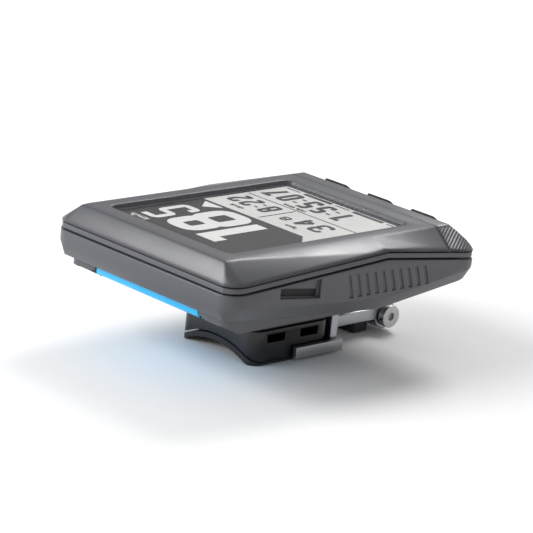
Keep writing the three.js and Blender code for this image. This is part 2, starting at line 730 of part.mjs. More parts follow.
function doorSeal() {
  const inner = BAY_RADIUS + SEAL_MARGIN + GAP / 2;
  return ring(inner, inner + SEAL_WIDTH, 0, BAY_Y, SEAL_BASE, SEAL_BASE + SEAL_THICK);
}

// ---- Coin cell and its contacts ----------------------------------------------------------------
function coinCell() {
  const can = rod(CELL_RADIUS, 0, BAY_Y, CELL_BASE, CELL_TOP - CELL_STEP, FINE);
  return can.add(rod(CELL_RADIUS - CELL_CAP_INSET, 0, BAY_Y, CELL_BASE, CELL_TOP, FINE));
}

// The side contact stands just outside the bay, in a slot through the bay's wall.
const CONTACT_X = -BAY_RADIUS - SMALL_PLAY;
const CONTACT_LOW = SEAL_BASE + SEAL_THICK + 3 * GAP;

function contactSlot() {
  const half = CONTACT_WIDTH / 2 + CONTACT_PLAY;
  const outer = CONTACT_X - BAY_WALL;
  return block(outer, CONTACT_X + 2 * CONTACT_PLAY, BAY_Y - half, BAY_Y + half, CONTACT_LOW - GAP, FAR);
}

function cellContactSide() {
  const half = CONTACT_WIDTH / 2;
  const back = CONTACT_X - CONTACT_THICK;
  const upright = block(back, CONTACT_X, BAY_Y - half, BAY_Y + half, CONTACT_LOW, PART_TOP);
  const foot = block(back - CONTACT_PLAY * 2, CONTACT_X, BAY_Y - half, BAY_Y + half,
    PART_TOP - CONTACT_THICK, PART_TOP);
  return upright.add(foot);
}

// The upper contact is a bent strip from the board down to the middle of the cell.
function cellContactTop() {
  const low = CELL_TOP + GAP;
  const strip = [
    [BAY_Y + 5, PART_TOP],
    [BAY_Y + 1.9, PART_TOP],
    [BAY_Y - 1.1, low + CONTACT_SPRING],
    [BAY_Y - 3, low + CONTACT_SPRING],
    [BAY_Y - 3, low],
    [BAY_Y - 1, low],
    [BAY_Y + 2, PART_TOP - CONTACT_SPRING],
    [BAY_Y + 5, PART_TOP - CONTACT_SPRING],
  ];
  return sideways(strip, -STRIP_HALF, STRIP_HALF);
}

// ---- Display stack -----------------------------------------------------------------------------
// The window's outline in the cover, grown by an amount on each side.
function windowOutline(grow, radius) {
  const x = WINDOW_X + grow;
  return roundedRect(-x, x, WINDOW_REAR - grow, WINDOW_FRONT + grow, radius);
}

function lens() {
  return slab(windowOutline(LENS_BORDER, LENS_RADIUS), LENS_UNDER, LENS_TOP);
}

// A plate under the window, as large as the display's glass grown by an amount on each side.
function screenPlate(grow, low, high) {
  const x = LCD_X + grow;
  const y = LCD_Y + grow;
  return block(-x, x, WINDOW_Y - y, WINDOW_Y + y, low, high);
}

// The frame stands on the board, holds the display's edge and carries the backlight on a shelf.
function lcdFrame() {
  const foot = BOARD_TOP + GAP;
  const top = COVER_UNDER - GAP;
  const outer = screenPlate(GAP + FRAME_WALL, foot, top);
  const pocket = screenPlate(GAP, BACKLIGHT_UNDER - GAP, FAR);
  const opening = screenPlate(-FRAME_SHELF, 0, FAR);
  const rear = WINDOW_Y - LCD_Y - GAP;
  const half = FLEX_WIDTH / 2 + GAP;
  const gate = block(-half, half, rear - 2 * FRAME_WALL, rear + FRAME_WALL, BACKLIGHT_TOP, FAR);
  return outer.subtract(joined([pocket, opening, gate]));
}

// The flex leaves under the display's rear edge, passes the frame's gate and drops to the board.
function lcdFlex() {
  const high = LCD_UNDER - GLUE_LINE / 2;
  const low = high - FLEX_THICK;
  const front = WINDOW_Y - LCD_Y + FLEX_LAP;
  const back = WINDOW_Y - LCD_Y - 2 * GAP - FRAME_WALL - FLEX_THICK;
  const strip = [
    [front, low],
    [back + FLEX_THICK, low],
    [back + FLEX_THICK, BOARD_TOP + GAP],
    [back, BOARD_TOP + GAP],
    [back, high],
    [front, high],
  ];
  return sideways(strip.reverse(), -FLEX_WIDTH / 2, FLEX_WIDTH / 2);
}

// ---- Boards and what is on them ----------------------------------------------------------------
function mainBoard() {
  const x = SIDE - WALL - BOARD_MARGIN;
  const front = FRONT - WALL - BOARD_MARGIN;
  const outline = roundedRect(-x, x, SPLIT + BOARD_FROM_SPLIT, front, BOARD_RADIUS);
  const holes = CASE_POSTS.map(([px, py]) => rod(SCREW_RADIUS + GAP, px, py, 0, FAR));
  return slab(outline, BOARD_UNDER, BOARD_TOP).subtract(joined(holes));
}

// A part soldered under the board: its sides, where it starts ahead of the split line, and its size.
function underBoard({ left, right, ahead, length, height }) {
  const rear = SPLIT + ahead;
  return block(left, right, rear, rear + length, PART_TOP - height, PART_TOP);
}

// A pressed can, open towards the board.
function shieldCan() {
  const { left, right, ahead, length, height, wall } = SHIELD;
  const inside = {
    left: left + wall,
    right: right - wall,
    ahead: ahead + wall,
    length: length - 2 * wall,
    height: height - wall,
  };
  return underBoard(SHIELD).subtract(underBoard(inside));
}

function buzzer() {
  const { radius, x, ahead, height, port, portDepth } = BUZZER;
  const y = SPLIT + ahead;
  const low = PART_TOP - height;
  return rod(radius, x, y, low, PART_TOP, FINE).subtract(rod(port, x, y, 0, low + portDepth));
}

// A strip along the casing's left side, with a leg up to the board.
function antenna() {
  const { width, length, drop, thick, fromWall } = ANTENNA;
  const x = -(SIDE - WALL - fromWall);
  const y = BAY_Y - length;
  const low = PART_TOP - drop;
  return joined([
    block(x, x + width, y, BAY_Y, low, low + thick),
    block(x, x + width, y, y + thick, low, PART_TOP),
  ]);
}

// ---- Keys, on the 45 degree face ---------------------------------------------------------------
// A piece drawn with z out of the sloping face and y up it, moved to its place at x.
function onSlope(made, x) {
  const turn = new THREE.Matrix4().makeRotationX(Math.PI / 4);
  turn.setPosition(x, REAR + KEY_SLOPE / 2, TOP - KEY_SLOPE / 2);
  return made.transform(turn.toArray());
}

function keyPlaces() {
  return Array.from({ length: KEY_COUNT }, (_, i) => (i - (KEY_COUNT - 1) / 2) * KEY_PITCH);
}

function keyOutline(grow) {
  const x = KEY_WIDTH / 2 + grow;
  const y = KEY_HEIGHT / 2 + grow;
  return roundedRect(-x, x, KEY_UP - y, KEY_UP + y, KEY_RADIUS + grow);
}

const FLANGE_TOP = -WALL - GAP;
const NUB_END = FLANGE_TOP - KEY_FLANGE - KEY_NUB;
const PLUNGER_TOP = NUB_END - GAP;
const SWITCH_TOP = PLUNGER_TOP - SWITCH_DROP;
const SWITCH_UNDER = SWITCH_TOP - SWITCH_THICK;
const KEY_BOARD_TOP = SWITCH_UNDER - GAP;
const KEY_BOARD_UNDER = KEY_BOARD_TOP - KEY_BOARD_THICK;
const SWITCH_SPAN = KEY_PITCH * (KEY_COUNT - 1) / 2 + SWITCH_SIZE / 2;

function keySlot(x) {
  return onSlope(slab(keyOutline(KEY_PLAY), -WALL - 1, 2), x);
}

function key(x) {
  const body = slab(keyOutline(0), FLANGE_TOP - KEY_FLANGE, KEY_PROUD);
  const half = KEY_WIDTH / 2 + KEY_FLANGE;
  const low = KEY_UP - KEY_HEIGHT / 2 - KEY_FLANGE;
  const high = KEY_UP + KEY_HEIGHT / 2 - KEY_TRIM;
  const flange = block(-half, half, low, high, FLANGE_TOP - KEY_FLANGE, FLANGE_TOP);
  const nub = rod(KEY_NUB_RADIUS, 0, 0, NUB_END, FLANGE_TOP);
  const corner = block(-FAR, FAR, high, FAR, -FAR, -WALL);
  return onSlope(joined([body, flange, nub]).subtract(corner), x);
}

function plunger(x) {
  return onSlope(rod(PLUNGER_RADIUS, 0, 0, PLUNGER_TOP - PLUNGER_LENGTH, PLUNGER_TOP), x);
}

function keySwitch(x) {
  const half = SWITCH_SIZE / 2;
  const body = block(-half, half, -half, half, SWITCH_UNDER, SWITCH_TOP);
  const floor = PLUNGER_TOP - PLUNGER_LENGTH - SWITCH_BORE_FLOOR;
  const bore = rod(PLUNGER_RADIUS + GAP, 0, 0, floor, SWITCH_TOP + 1);
  return onSlope(body.subtract(bore), x);
}

function keyBoard() {
  const half = SWITCH_SPAN + KEY_BOARD_MARGIN;
  const y = KEY_BOARD_HEIGHT / 2;
  return onSlope(block(-half, half, -y, y, KEY_BOARD_UNDER, KEY_BOARD_TOP), 0);
}

// The wedge that holds the key board at 45 degrees, standing on the shell's floor.
function keyWedge() {
  const half = SWITCH_SPAN;
  const high = KEY_BOARD_HEIGHT / 2 - WEDGE_TRIM;
  const behind = onSlope(block(-half, half, -FAR, high, -FAR, KEY_BOARD_UNDER - GAP), 0);
  const floor = bellyZ(SPLIT) + WALL + GAP + EMBED;
  return behind.intersect(block(-half, half, REAR + WALL + WEDGE_FROM_WALL, SPLIT, floor, BOARD_UNDER - GAP));
}

// ---- Quarter-turn boss -------------------------------------------------------------------------
// An upright rod where one of the boss's two screws goes.
function bossScrew(side, radius, z0, z1, sides = COARSE) {
  return rod(radius, side * BOSS_SCREW_X, BOSS_Y - BOSS_SCREW_BACK, z0, z1, sides);
}

// Two opposite sectors round the turning axis; turned 0 puts them fore and aft.
function sectors(radius, halfAngle, turned, z0, z1) {
  const wedges = [0, 180].map((base) => {
    const shape = new THREE.Shape();
    const middle = THREE.MathUtils.degToRad(90 + turned + base);
    const half = THREE.MathUtils.degToRad(halfAngle);
    shape.moveTo(0, 0);
    shape.lineTo(radius * Math.cos(middle - half), radius * Math.sin(middle - half));
    shape.absarc(0, 0, radius, middle - half, middle + half, false);
    shape.lineTo(0, 0);
    const geometry = new THREE.ExtrudeGeometry(shape, {
      depth: z1 - z0,
      bevelEnabled: false,
      curveSegments: 10,
    });
    geometry.translate(0, BOSS_Y, z0);
    return solid(geometry);
  });
  return joined(wedges);
}

function twistBoss() {
  const neck = rod(NECK_RADIUS, 0, BOSS_Y, LUG_BASE, BOSS_TOP, FINE);
  const lugs = sectors(LUG_RADIUS, LUG_HALF_ANGLE, 0, LUG_BASE, LUG_TOP);
  const flange = rod(BOSS_FLANGE_RADIUS, 0, BOSS_Y, BOSS_TOP - BOSS_FLANGE, BOSS_TOP, FINE);
  const cuts = [-1, 1].flatMap((s) => [
    bossScrew(s, SCREW_RADIUS + GAP, 0, FAR),
    bossScrew(s, SCREW_HEAD_RADIUS + SMALL_PLAY, 0, LUG_BASE + SCREW_HEAD + BOSS_HEAD_DEPTH),
  ]);
  return joined([neck, lugs, flange]).subtract(joined(cuts));
}

function bossScrews() {
  return [-1, 1].map((s) => {
    const low = LUG_BASE + BOSS_HEAD_DEPTH - GAP;
    const head = bossScrew(s, SCREW_HEAD_RADIUS, low, low + SCREW_HEAD);
    const shaft = bossScrew(s, SCREW_RADIUS, low, BELLY + BOSS_POST_HEIGHT - 2 * HEAD_SINK);
    const drive = bossScrew(s, DRIVE_RADIUS, 0, low + DRIVE_DEPTH, 6);
    return head.add(shaft).subtract(drive);
  });
}

// ---- Stem mount --------------------------------------------------------------------------------
function mountOutline() {
  return roundedRect(-BLOCK_HALF, BLOCK_HALF, BLOCK_REAR, BOSS_Y + BLOCK_HALF, SOCKET_RADIUS);
}

function socketScrewPlaces() {
  const out = BLOCK_HALF - SOCKET_SCREW_INSET;
  return [[-out, -out], [out, -out], [-out, out], [out, out]].map(([x, y]) => [x, BOSS_Y + y]);
}

function twistSocket() {
  const body = slab(mountOutline(), SOCKET_BASE, SOCKET_TOP);
  const flangeUnder = SOCKET_TOP - SOCKET_FLANGE;
  const cuts = [
    rod(LUG_RADIUS + TWIST_PLAY, 0, BOSS_Y, 0, flangeUnder, FINE),
    rod(NECK_RADIUS + TWIST_PLAY, 0, BOSS_Y, 0, FAR, FINE),
    sectors(LUG_RADIUS + TWIST_PLAY, LUG_HALF_ANGLE + ENTRY_PLAY, 90, 0, FAR),
    ...socketScrewPlaces().flatMap(([x, y]) => [
      rod(SCREW_RADIUS + GAP, x, y, 0, FAR),
      rod(SCREW_HEAD_RADIUS + SMALL_PLAY, x, y, SOCKET_TOP - SCREW_HEAD - SMALL_PLAY, FAR),
    ]),
  ];
  return body.subtract(joined(cuts));
}

function socketScrews() {
  return socketScrewPlaces().map(([x, y]) => {
    const head = rod(SCREW_HEAD_RADIUS, x, y, SOCKET_TOP - SCREW_HEAD, SOCKET_TOP);
    const shaft = rod(SCREW_RADIUS, x, y, SADDLE_HOLE_FLOOR + GAP, SOCKET_TOP - SCREW_HEAD / 2);
    return head.add(shaft).subtract(rod(DRIVE_RADIUS, x, y, SOCKET_TOP - DRIVE_DEPTH, FAR, 6));
  });
}

function frictionRing() {
  const inner = NECK_RADIUS - RING_OVERLAP;
  return ring(inner, LUG_RADIUS - SMALL_PLAY, 0, BOSS_Y, RING_BASE, RING_BASE + RING_THICK);
}

// The space of a stem of this radius that runs fore and aft under the block.
function stemCut(radius) {
  return level(radius, 0, BLOCK_REAR - 1, BOSS_Y + BLOCK_HALF + 1, STEM_Z, STEM_SIDES);
}

function saddle() {
  const low = TIE_SLOT_Z - TIE_SLOT_HEIGHT / 2;
  const high = TIE_SLOT_Z + TIE_SLOT_HEIGHT / 2;
  const slots = [-1, 1].map((s) => {
    const y = BOSS_Y + s * TIE_SLOT_Y;
    return block(-FAR, FAR, y - TIE_SLOT_WIDTH / 2, y + TIE_SLOT_WIDTH / 2, low, high);
  });
  const depth = BLOCK_REAR + STAY_SCREW_DEPTH + GAP;
  return slab(mountOutline(), SADDLE_LIFT, SADDLE_TOP).subtract(joined([
    stemCut(STEM_RADIUS + PAD_THICK + GAP),
    ...slots,
    ...socketScrewPlaces().map(([x, y]) => rod(SCREW_RADIUS + GAP, x, y, SADDLE_HOLE_FLOOR, FAR)),
    ...stayScrewPlaces().map((x) => stayScrew(SCREW_RADIUS + SMALL_PLAY, x, BLOCK_REAR - 1, depth)),
  ]));
}

function saddlePad() {
  const body = slab(mountOutline(), 0, STEM_RADIUS + STEM_Z + PAD_THICK + PAD_SKIRT);
  return body.intersect(stemCut(STEM_RADIUS + PAD_THICK)).subtract(stemCut(STEM_RADIUS));
}

// The light stay behind the block: an upright plate with a low skirt round the saddle's rear half,
// an arm and a round eye. The arm is notched round the screw heads.
function rearStay() {
  const face = BLOCK_REAR - GAP;
  const back = face - STAY_PLATE;
  const half = STAY_WIDTH / 2;
  const plate = BLOCK_HALF - STAY_PLATE_INSET;
  const inner = BLOCK_HALF + GAP;
  const outer = inner + SKIRT_THICK;
  const skirtTop = SKIRT_LOW + SKIRT_HEIGHT;
  return joined([
    block(-plate, plate, back, face, STAY_PLATE_LOW, SOCKET_TOP - STAY_PLATE_DROP),
    block(-outer, outer, back, face, SKIRT_LOW, skirtTop),
    block(-outer, -inner, back, BOSS_Y, SKIRT_LOW, skirtTop),
    block(inner, outer, back, BOSS_Y, SKIRT_LOW, skirtTop),
    block(-half, half, EYE_Y, back + EMBED, STAY_Z - STAY_THICK / 2, STAY_Z + STAY_THICK / 2),
    axle(EYE_RADIUS, -half, half, EYE_Y, EYE_Z, FINE),
  ]).subtract(joined([
    axle(EYE_SCREW_RADIUS + GAP, -FAR, FAR, EYE_Y, EYE_Z),
    ...stayScrewPlaces().map((x) => stayScrew(SCREW_RADIUS + SMALL_PLAY, x, back - 1, face + 1)),
    ...stayScrewPlaces().map((x) => stayScrew(SCREW_HEAD_RADIUS, x, back - 2 * SCREW_HEAD, back)),
  ]));
}

function stayScrewPlaces() {
  return [-STAY_SCREW_X, STAY_SCREW_X];
}

// A level rod where one of the stay's two screws goes.
function stayScrew(radius, x, y0, y1, sides = COARSE) {
  return level(radius, x, y0, y1, TIE_SLOT_Z, sides);
}

function stayScrews() {
  const back = BLOCK_REAR - 2 * GAP - STAY_PLATE;
  return stayScrewPlaces().map((x) => {
    const head = stayScrew(SCREW_HEAD_RADIUS - STAY_HEAD_INSET, x, back - SCREW_HEAD, back);
    const end = BLOCK_REAR + STAY_SCREW_DEPTH;
    const shaft = stayScrew(SCREW_RADIUS - SMALL_PLAY / 2, x, back - SCREW_HEAD / 2, end);
    const drive = stayScrew(DRIVE_RADIUS, x, -FAR, back - SCREW_HEAD + DRIVE_DEPTH, 6);
    return head.add(shaft).subtract(drive);
  });
}

function stayBolt() {
  const half = STAY_WIDTH / 2 + GAP;
  const head = axle(BOLT_HEAD_RADIUS, -half - BOLT_HEAD, -half, EYE_Y, EYE_Z, FINE);
  const shaft = axle(EYE_SCREW_RADIUS, -half - BOLT_HEAD / 2, half + BOLT_END, EYE_Y, EYE_Z);
  const drive = axle(BOLT_DRIVE_RADIUS, -FAR, BOLT_DRIVE_DEPTH - half - BOLT_HEAD, EYE_Y, EYE_Z, 6);
  return head.add(shaft).subtract(drive);
}

function stayNut() {
  const half = STAY_WIDTH / 2 + GAP;
  const nut = axle(BOLT_HEAD_RADIUS, half, half + NUT_THICK, EYE_Y, EYE_Z, 6);
  return nut.subtract(axle(EYE_SCREW_RADIUS + GAP, 0, FAR, EYE_Y, EYE_Z));
}

function stayFoot() {
  const x = STAY_WIDTH / 2 - FOOT_INSET;
  const y = EYE_Y + EYE_RADIUS + FOOT_FROM_EYE;
  const sole = roundedRect(-x, x, y, y + FOOT_LENGTH, FOOT_INSET);
  return slab(sole, 0, STAY_Z - STAY_THICK / 2 - GAP);
}

// ---- Materials and the assembly ----------------------------------------------------------------
const FINISHES = {
  satinBlack: { color: 0x2c2d31, roughness: 0.42, metalness: 0 },
  matteBlack: { color: 0x1e1f22, roughness: 0.6, metalness: 0 },
  silverGrey: { color: 0xb9bbc0, roughness: 0.35, metalness: 0.6 },
  blue: { color: 0x00a6e6, roughness: 0.35, metalness: 0 },
  rubber: { color: 0x141416, roughness: 0.8, metalness: 0 },
  glass: { color: 0x8f938f, roughness: 0.08, metalness: 0 },
  liquidCrystal: { color: 0xd9ddd8, roughness: 0.3, metalness: 0 },
  white: { color: 0xf2f2ee, roughness: 0.5, metalness: 0 },
  board: { color: 0x14532e, roughness: 0.45, metalness: 0 },
  film: { color: 0xb3721f, roughness: 0.4, metalness: 0 },
  steel: { color: 0xa9adb2, roughness: 0.3, metalness: 1 },
  brass: { color: 0xc79b4a, roughness: 0.35, metalness: 1 },
};

const assembly = new THREE.Group();

function geometryOf(made) {
  const mesh = made.getMesh();
  const geometry = new THREE.BufferGeometry();
  geometry.setAttribute("position", new THREE.Float32BufferAttribute(mesh.vertProperties, 3));
  geometry.setIndex(new THREE.Uint32BufferAttribute(mesh.triVerts, 1));
  geometry.computeVertexNormals();
  return geometry;
}

function place(name, finish, made) {
  const mesh = new THREE.Mesh(geometryOf(made), new THREE.MeshStandardMaterial(FINISHES[finish]));
  mesh.name = name;
  assembly.add(mesh);
}

function placeAll(name, finish, solids) {
  solids.forEach((made, i) => place(`${name}_${i + 1}`, finish, made));
}

place("top_cover", "satinBlack", topCover());
place("key_cap", "satinBlack", keyCap());
place("seal_band", "rubber", sealBand());
place("rear_shell", "satinBlack", rearShell());
placeAll("case_screw", "steel", caseScrews());

place("lens", "glass", lens());
place("lcd_panel", "liquidCrystal", screenPlate(0, LCD_UNDER, LCD_TOP));
place("backlight", "white", screenPlate(0, BACKLIGHT_UNDER, BACKLIGHT_TOP));
place("lcd_frame", "matteBlack", lcdFrame());
place("lcd_flex", "film", lcdFlex());

place("main_board", "board", mainBoard());
place("shield_can", "steel", shieldCan());
place("radio_chip", "matteBlack", underBoard(RADIO));
place("memory_chip", "matteBlack", underBoard(MEMORY));
place("crystal_can", "steel", underBoard(CRYSTAL));
place("buzzer", "matteBlack", buzzer());
place("antenna", "brass", antenna());
place("key_connector", "white", underBoard(CONNECTOR));

place("cell_door", "blue", cellDoor());
place("door_seal", "rubber", doorSeal());
place("coin_cell", "steel", coinCell());
place("cell_contact_side", "brass", cellContactSide());
place("cell_contact_top", "brass", cellContactTop());

place("key_board", "board", keyBoard());
place("key_wedge", "matteBlack", keyWedge());
const KEY_NAMES = ["left", "middle", "right"];
keyPlaces().forEach((x, i) => {
  place(`key_${KEY_NAMES[i]}`, "rubber", key(x));
  place(`plunger_${KEY_NAMES[i]}`, "white", plunger(x));
  place(`switch_${KEY_NAMES[i]}`, "matteBlack", keySwitch(x));
});

place("twist_boss", "matteBlack", twistBoss());
placeAll("boss_screw", "steel", bossScrews());
place("twist_socket", "matteBlack", twistSocket());
placeAll("socket_screw", "steel", socketScrews());
place("friction_ring", "rubber", frictionRing());
place("saddle", "matteBlack", saddle());
place("saddle_pad", "rubber", saddlePad());
place("rear_stay", "silverGrey", rearStay());
placeAll("stay_screw", "steel", stayScrews());
place("stay_bolt", "steel", stayBolt());
place("stay_nut", "steel", stayNut());
place("stay_foot", "rubber", stayFoot());

export default assembly;
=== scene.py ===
"""Looks for a stem-mounted cycling computer.

The CAD pieces keep their places. Here each gets its real finish, the outside ones get rounded
edges, and the display gets its printed figures. Metres, in the CAD model's own frame: +Y is the
riding direction, +X the rider's right and +Z up out of the display.
"""

import json
import math

import bmesh
import bpy
import numpy as np
from mathutils import Matrix, Vector

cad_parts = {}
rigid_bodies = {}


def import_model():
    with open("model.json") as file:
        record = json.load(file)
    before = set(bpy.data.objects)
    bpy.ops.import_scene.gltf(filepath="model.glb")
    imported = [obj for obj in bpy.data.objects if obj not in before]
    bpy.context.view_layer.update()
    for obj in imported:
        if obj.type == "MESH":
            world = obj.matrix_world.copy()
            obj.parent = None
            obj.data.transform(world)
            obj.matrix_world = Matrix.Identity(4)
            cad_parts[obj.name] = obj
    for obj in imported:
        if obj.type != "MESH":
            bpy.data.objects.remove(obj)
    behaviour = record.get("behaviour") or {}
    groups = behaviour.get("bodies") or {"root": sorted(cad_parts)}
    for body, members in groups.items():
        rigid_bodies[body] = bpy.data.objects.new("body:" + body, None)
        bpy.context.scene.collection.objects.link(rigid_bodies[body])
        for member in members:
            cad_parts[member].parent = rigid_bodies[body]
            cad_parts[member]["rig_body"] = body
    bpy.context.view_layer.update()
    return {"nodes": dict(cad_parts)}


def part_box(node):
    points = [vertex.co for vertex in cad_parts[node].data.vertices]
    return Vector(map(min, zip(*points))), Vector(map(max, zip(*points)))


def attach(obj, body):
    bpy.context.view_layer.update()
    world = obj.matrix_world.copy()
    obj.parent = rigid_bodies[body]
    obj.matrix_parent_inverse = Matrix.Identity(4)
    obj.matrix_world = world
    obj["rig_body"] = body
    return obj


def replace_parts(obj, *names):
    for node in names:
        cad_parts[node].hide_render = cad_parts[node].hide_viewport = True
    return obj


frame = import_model()

MM = 0.001
NODES = frame["nodes"]
KEYS = ("left", "middle", "right")

DISPLAY_LOW, DISPLAY_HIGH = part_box("lcd_panel")
LENS_LOW, LENS_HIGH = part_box("lens")
CASE_LOW, CASE_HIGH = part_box("rear_shell")
SIDE_FLARE = 4.6 * MM  # the side facets' reach beyond the flat top
FLAT_HALF = CASE_HIGH.x - SIDE_FLARE
SLOT_DEPTH = 1.0 * MM  # the side recess's slot, from the upright wall

NOISE_LOW, NOISE_HIGH = 0.3, 0.7  # the Noise Texture's values lie mostly between these


# ---- Shader helpers ------------------------------------------------------------------------------
def linear(code):
    """An sRGB hex colour as linear RGBA. A channel v becomes v / 12.92 when it is small, else
    ((v + 0.055) / 1.055) ** 2.4.
    """
    channels = [int(code[i : i + 2], 16) / 255 for i in (1, 3, 5)]
    return (*[v / 12.92 if v <= 0.04045 else ((v + 0.055) / 1.055) ** 2.4 for v in channels], 1.0)


def per_mm(size):
    """The scale that gives a texture features of this size in millimetres."""
    return 1 / (size * MM)


def stripes(pitch):
    """The Wave Texture's scale for stripes this many millimetres apart: its phase is 20 x."""
    return math.tau / (20 * pitch * MM)


def add(tree, kind, inputs=None, links=None, **settings):
    """Adds a shader node, sets its properties and its sockets' values, and links its inputs."""
    made = tree.nodes.new("ShaderNode" + kind)
    for key, value in settings.items():
        setattr(made, key, value)
    for key, value in (inputs or {}).items():
        made.inputs[key].default_value = value
    for key, socket in (links or {}).items():
        tree.links.new(socket, made.inputs[key])
    return made


def new_material(name):
    """An empty node material, with its tree and its output node."""
    material = bpy.data.materials.new(name)
    material.use_nodes = True
    material.node_tree.nodes.clear()
    return material, material.node_tree, add(material.node_tree, "OutputMaterial")


def new_object(name, data):
    """An object with this mesh, curve, light or camera, in the scene."""
    made = bpy.data.objects.new(name, data)
    bpy.context.scene.collection.objects.link(made)
    return made


def blend_colours(tree, body, first, second, share):
    """Gives a Principled node a base colour that goes from the first to the second with a share."""
    mix = add(tree, "Mix", {6: linear(first), 7: linear(second)}, {0: share}, data_type="RGBA")
    tree.links.new(mix.outputs[2], body.inputs["Base Color"])


def surface_finish(name, colour, roughness, grain, depth, edge, second=None, spread=0.06,
                   cloud=9.0, stretch=(1, 1, 1), **sockets):
    """A solid finish: a fine grain in the surface, a slow change of gloss and tint, round edges.

    grain is the grain's width, depth its height, edge the edges' radius and cloud the size of the
    slow changes, all in millimetres. The roughness goes up and down by spread. stretch lengthens
    the grain where a value is under 1. sockets are values of the Principled node, such as Metallic
    or IOR.
    """
    material, tree, output = new_material(name)
    place = add(tree, "TexCoord").outputs["Object"]
    drawn = add(tree, "Mapping", {"Scale": stretch}, {"Vector": place}).outputs["Vector"]
    slow = add(tree, "TexNoise", {"Scale": per_mm(cloud), "Detail": 3.0}, {"Vector": place})
    fine = add(tree, "TexNoise", {"Scale": per_mm(grain), "Detail": 2.0}, {"Vector": drawn})
    gloss = add(tree, "MapRange", {"From Min": NOISE_LOW, "From Max": NOISE_HIGH,
                                   "To Min": roughness - spread, "To Max": roughness + spread},
                {"Value": slow.outputs["Fac"]})
    rounded = add(tree, "Bevel", {"Radius": edge * MM}, samples=6)
    bump = add(tree, "Bump", {"Strength": 1.0, "Distance": depth * MM},
               {"Height": fine.outputs["Fac"], "Normal": rounded.outputs["Normal"]})
    body = add(tree, "BsdfPrincipled", {"Base Color": linear(colour), **sockets},
               {"Roughness": gloss.outputs["Result"], "Normal": bump.outputs["Normal"]})
    if second:
        blend_colours(tree, body, colour, second, slow.outputs["Fac"])
    tree.links.new(body.outputs["BSDF"], output.inputs["Surface"])
    return material, tree, body, bump


# ---- Finishes ------------------------------------------------------------------------------------
def moulded_casing(part, edge):
    """Grey PC/ABS from a spark-textured mould: an even satin that brightens at grazing angles.

    The 0.09 mm texture is drawn 0.3 mm wide so that it shows. edge is the radius of the part's
    edges in millimetres: large on the cover, small on the shell with its crisp recesses.
    """
    return surface_finish("moulded_pc_abs_" + part, "#424348", 0.36, grain=0.3, depth=0.012,
                          edge=edge, second="#47484e", spread=0.05, IOR=1.58)[0]


def ribbed_cap():
    """The same PC/ABS on the key cap, whose side facets carry fine moulded grip lines.

    The lines run across the facets and fade out just before the flat top.
    """
    pitch, relief = 0.5, 0.06 * MM
    fade_end, fade_start = FLAT_HALF + 0.4 * MM, FLAT_HALF + 0.8 * MM
    material, tree, body, bump = surface_finish(
        "moulded_pc_abs_lined", "#47484d", 0.36, grain=0.3, depth=0.012, edge=0.6,
        second="#4c4d53", spread=0.05, IOR=1.58)
    place = add(tree, "TexCoord").outputs["Object"]
    lines = add(tree, "TexWave", {"Scale": stripes(pitch)}, {"Vector": place},
                bands_direction="DIAGONAL")
    split = add(tree, "SeparateXYZ", None, {"Vector": place})
    outward = add(tree, "Math", None, {0: split.outputs["X"]}, operation="ABSOLUTE")
    facet = add(tree, "MapRange", {"From Min": fade_end, "From Max": fade_start},
                {"Value": outward.outputs["Value"]})
    height = add(tree, "Math", None, {0: lines.outputs["Fac"], 1: facet.outputs["Result"]},
                 operation="MULTIPLY")
    ridges = add(tree, "Bump", {"Strength": 1.0, "Distance": relief},
                 {"Height": height.outputs["Value"], "Normal": bump.outputs["Normal"]})
    tree.links.new(ridges.outputs["Normal"], body.inputs["Normal"])
    return material


def seal_elastomer():
    """Moulded TPE of the seal band and the cell door's gasket: a little paler and duller."""
    return surface_finish("moulded_tpe", "#505156", 0.45, grain=0.25, depth=0.006, edge=0.2,
                          IOR=1.5)[0]


def pad_rubber():
    """EPDM of the stem pad and the foot: matt black with a faint bloom."""
    return surface_finish("epdm_rubber", "#18191b", 0.72, grain=0.4, depth=0.02, edge=0.25,
                          second="#222326", spread=0.08, IOR=1.5)[0]


def key_silicone():
    """Silicone keys with a soft-touch coat: near black, with a broad dim highlight."""
    return surface_finish("soft_touch_silicone", "#17181a", 0.48, grain=0.25, depth=0.006,
                          edge=0.35, second="#1c1d20", IOR=1.42)[0]


def gloss_nylon():
    """Glass-filled nylon of the mount: glossy black with a slight flow pattern from the mould."""
    return surface_finish("glass_filled_nylon", "#0e0e10", 0.22, grain=0.5, depth=0.008, edge=0.3,
                          second="#141518", spread=0.07, stretch=(1, 0.3, 1), IOR=1.53)[0]


def door_polycarbonate():
    """Self-coloured blue polycarbonate of the cell door: bright, even and fairly glossy."""
    return surface_finish("blue_polycarbonate", "#00aee8", 0.26, grain=0.4, depth=0.005, edge=0.3,
                          second="#00a4e0", IOR=1.58)[0]


def anodised_aluminium():
    """Bead-blasted and clear-anodised aluminium of the stay: pale with a soft broad sheen."""
    return surface_finish("anodised_aluminium", "#a9abaf", 0.36, grain=0.2, depth=0.008, edge=0.25,
                          second="#b3b5b9", spread=0.05, Metallic=1.0)[0]


def zinc_steel():
    """Zinc-plated screw steel: bright, with faint cloudy patches from the plating bath."""
    return surface_finish("zinc_plated_steel", "#b4b6ba", 0.28, grain=0.3, depth=0.004, edge=0.12,
                          second="#c6c4be", spread=0.07, cloud=1.5, Metallic=1.0)[0]


def nickel_can():
    """Nickel-plated pressed steel of the cell and the shield can: smooth with a warm grey tone."""
    return surface_finish("nickel_plated_steel", "#bdbab2", 0.24, grain=0.5, depth=0.003, edge=0.25,
                          second="#c9c6be", spread=0.05, stretch=(1, 0.15, 1), Metallic=1.0)[0]


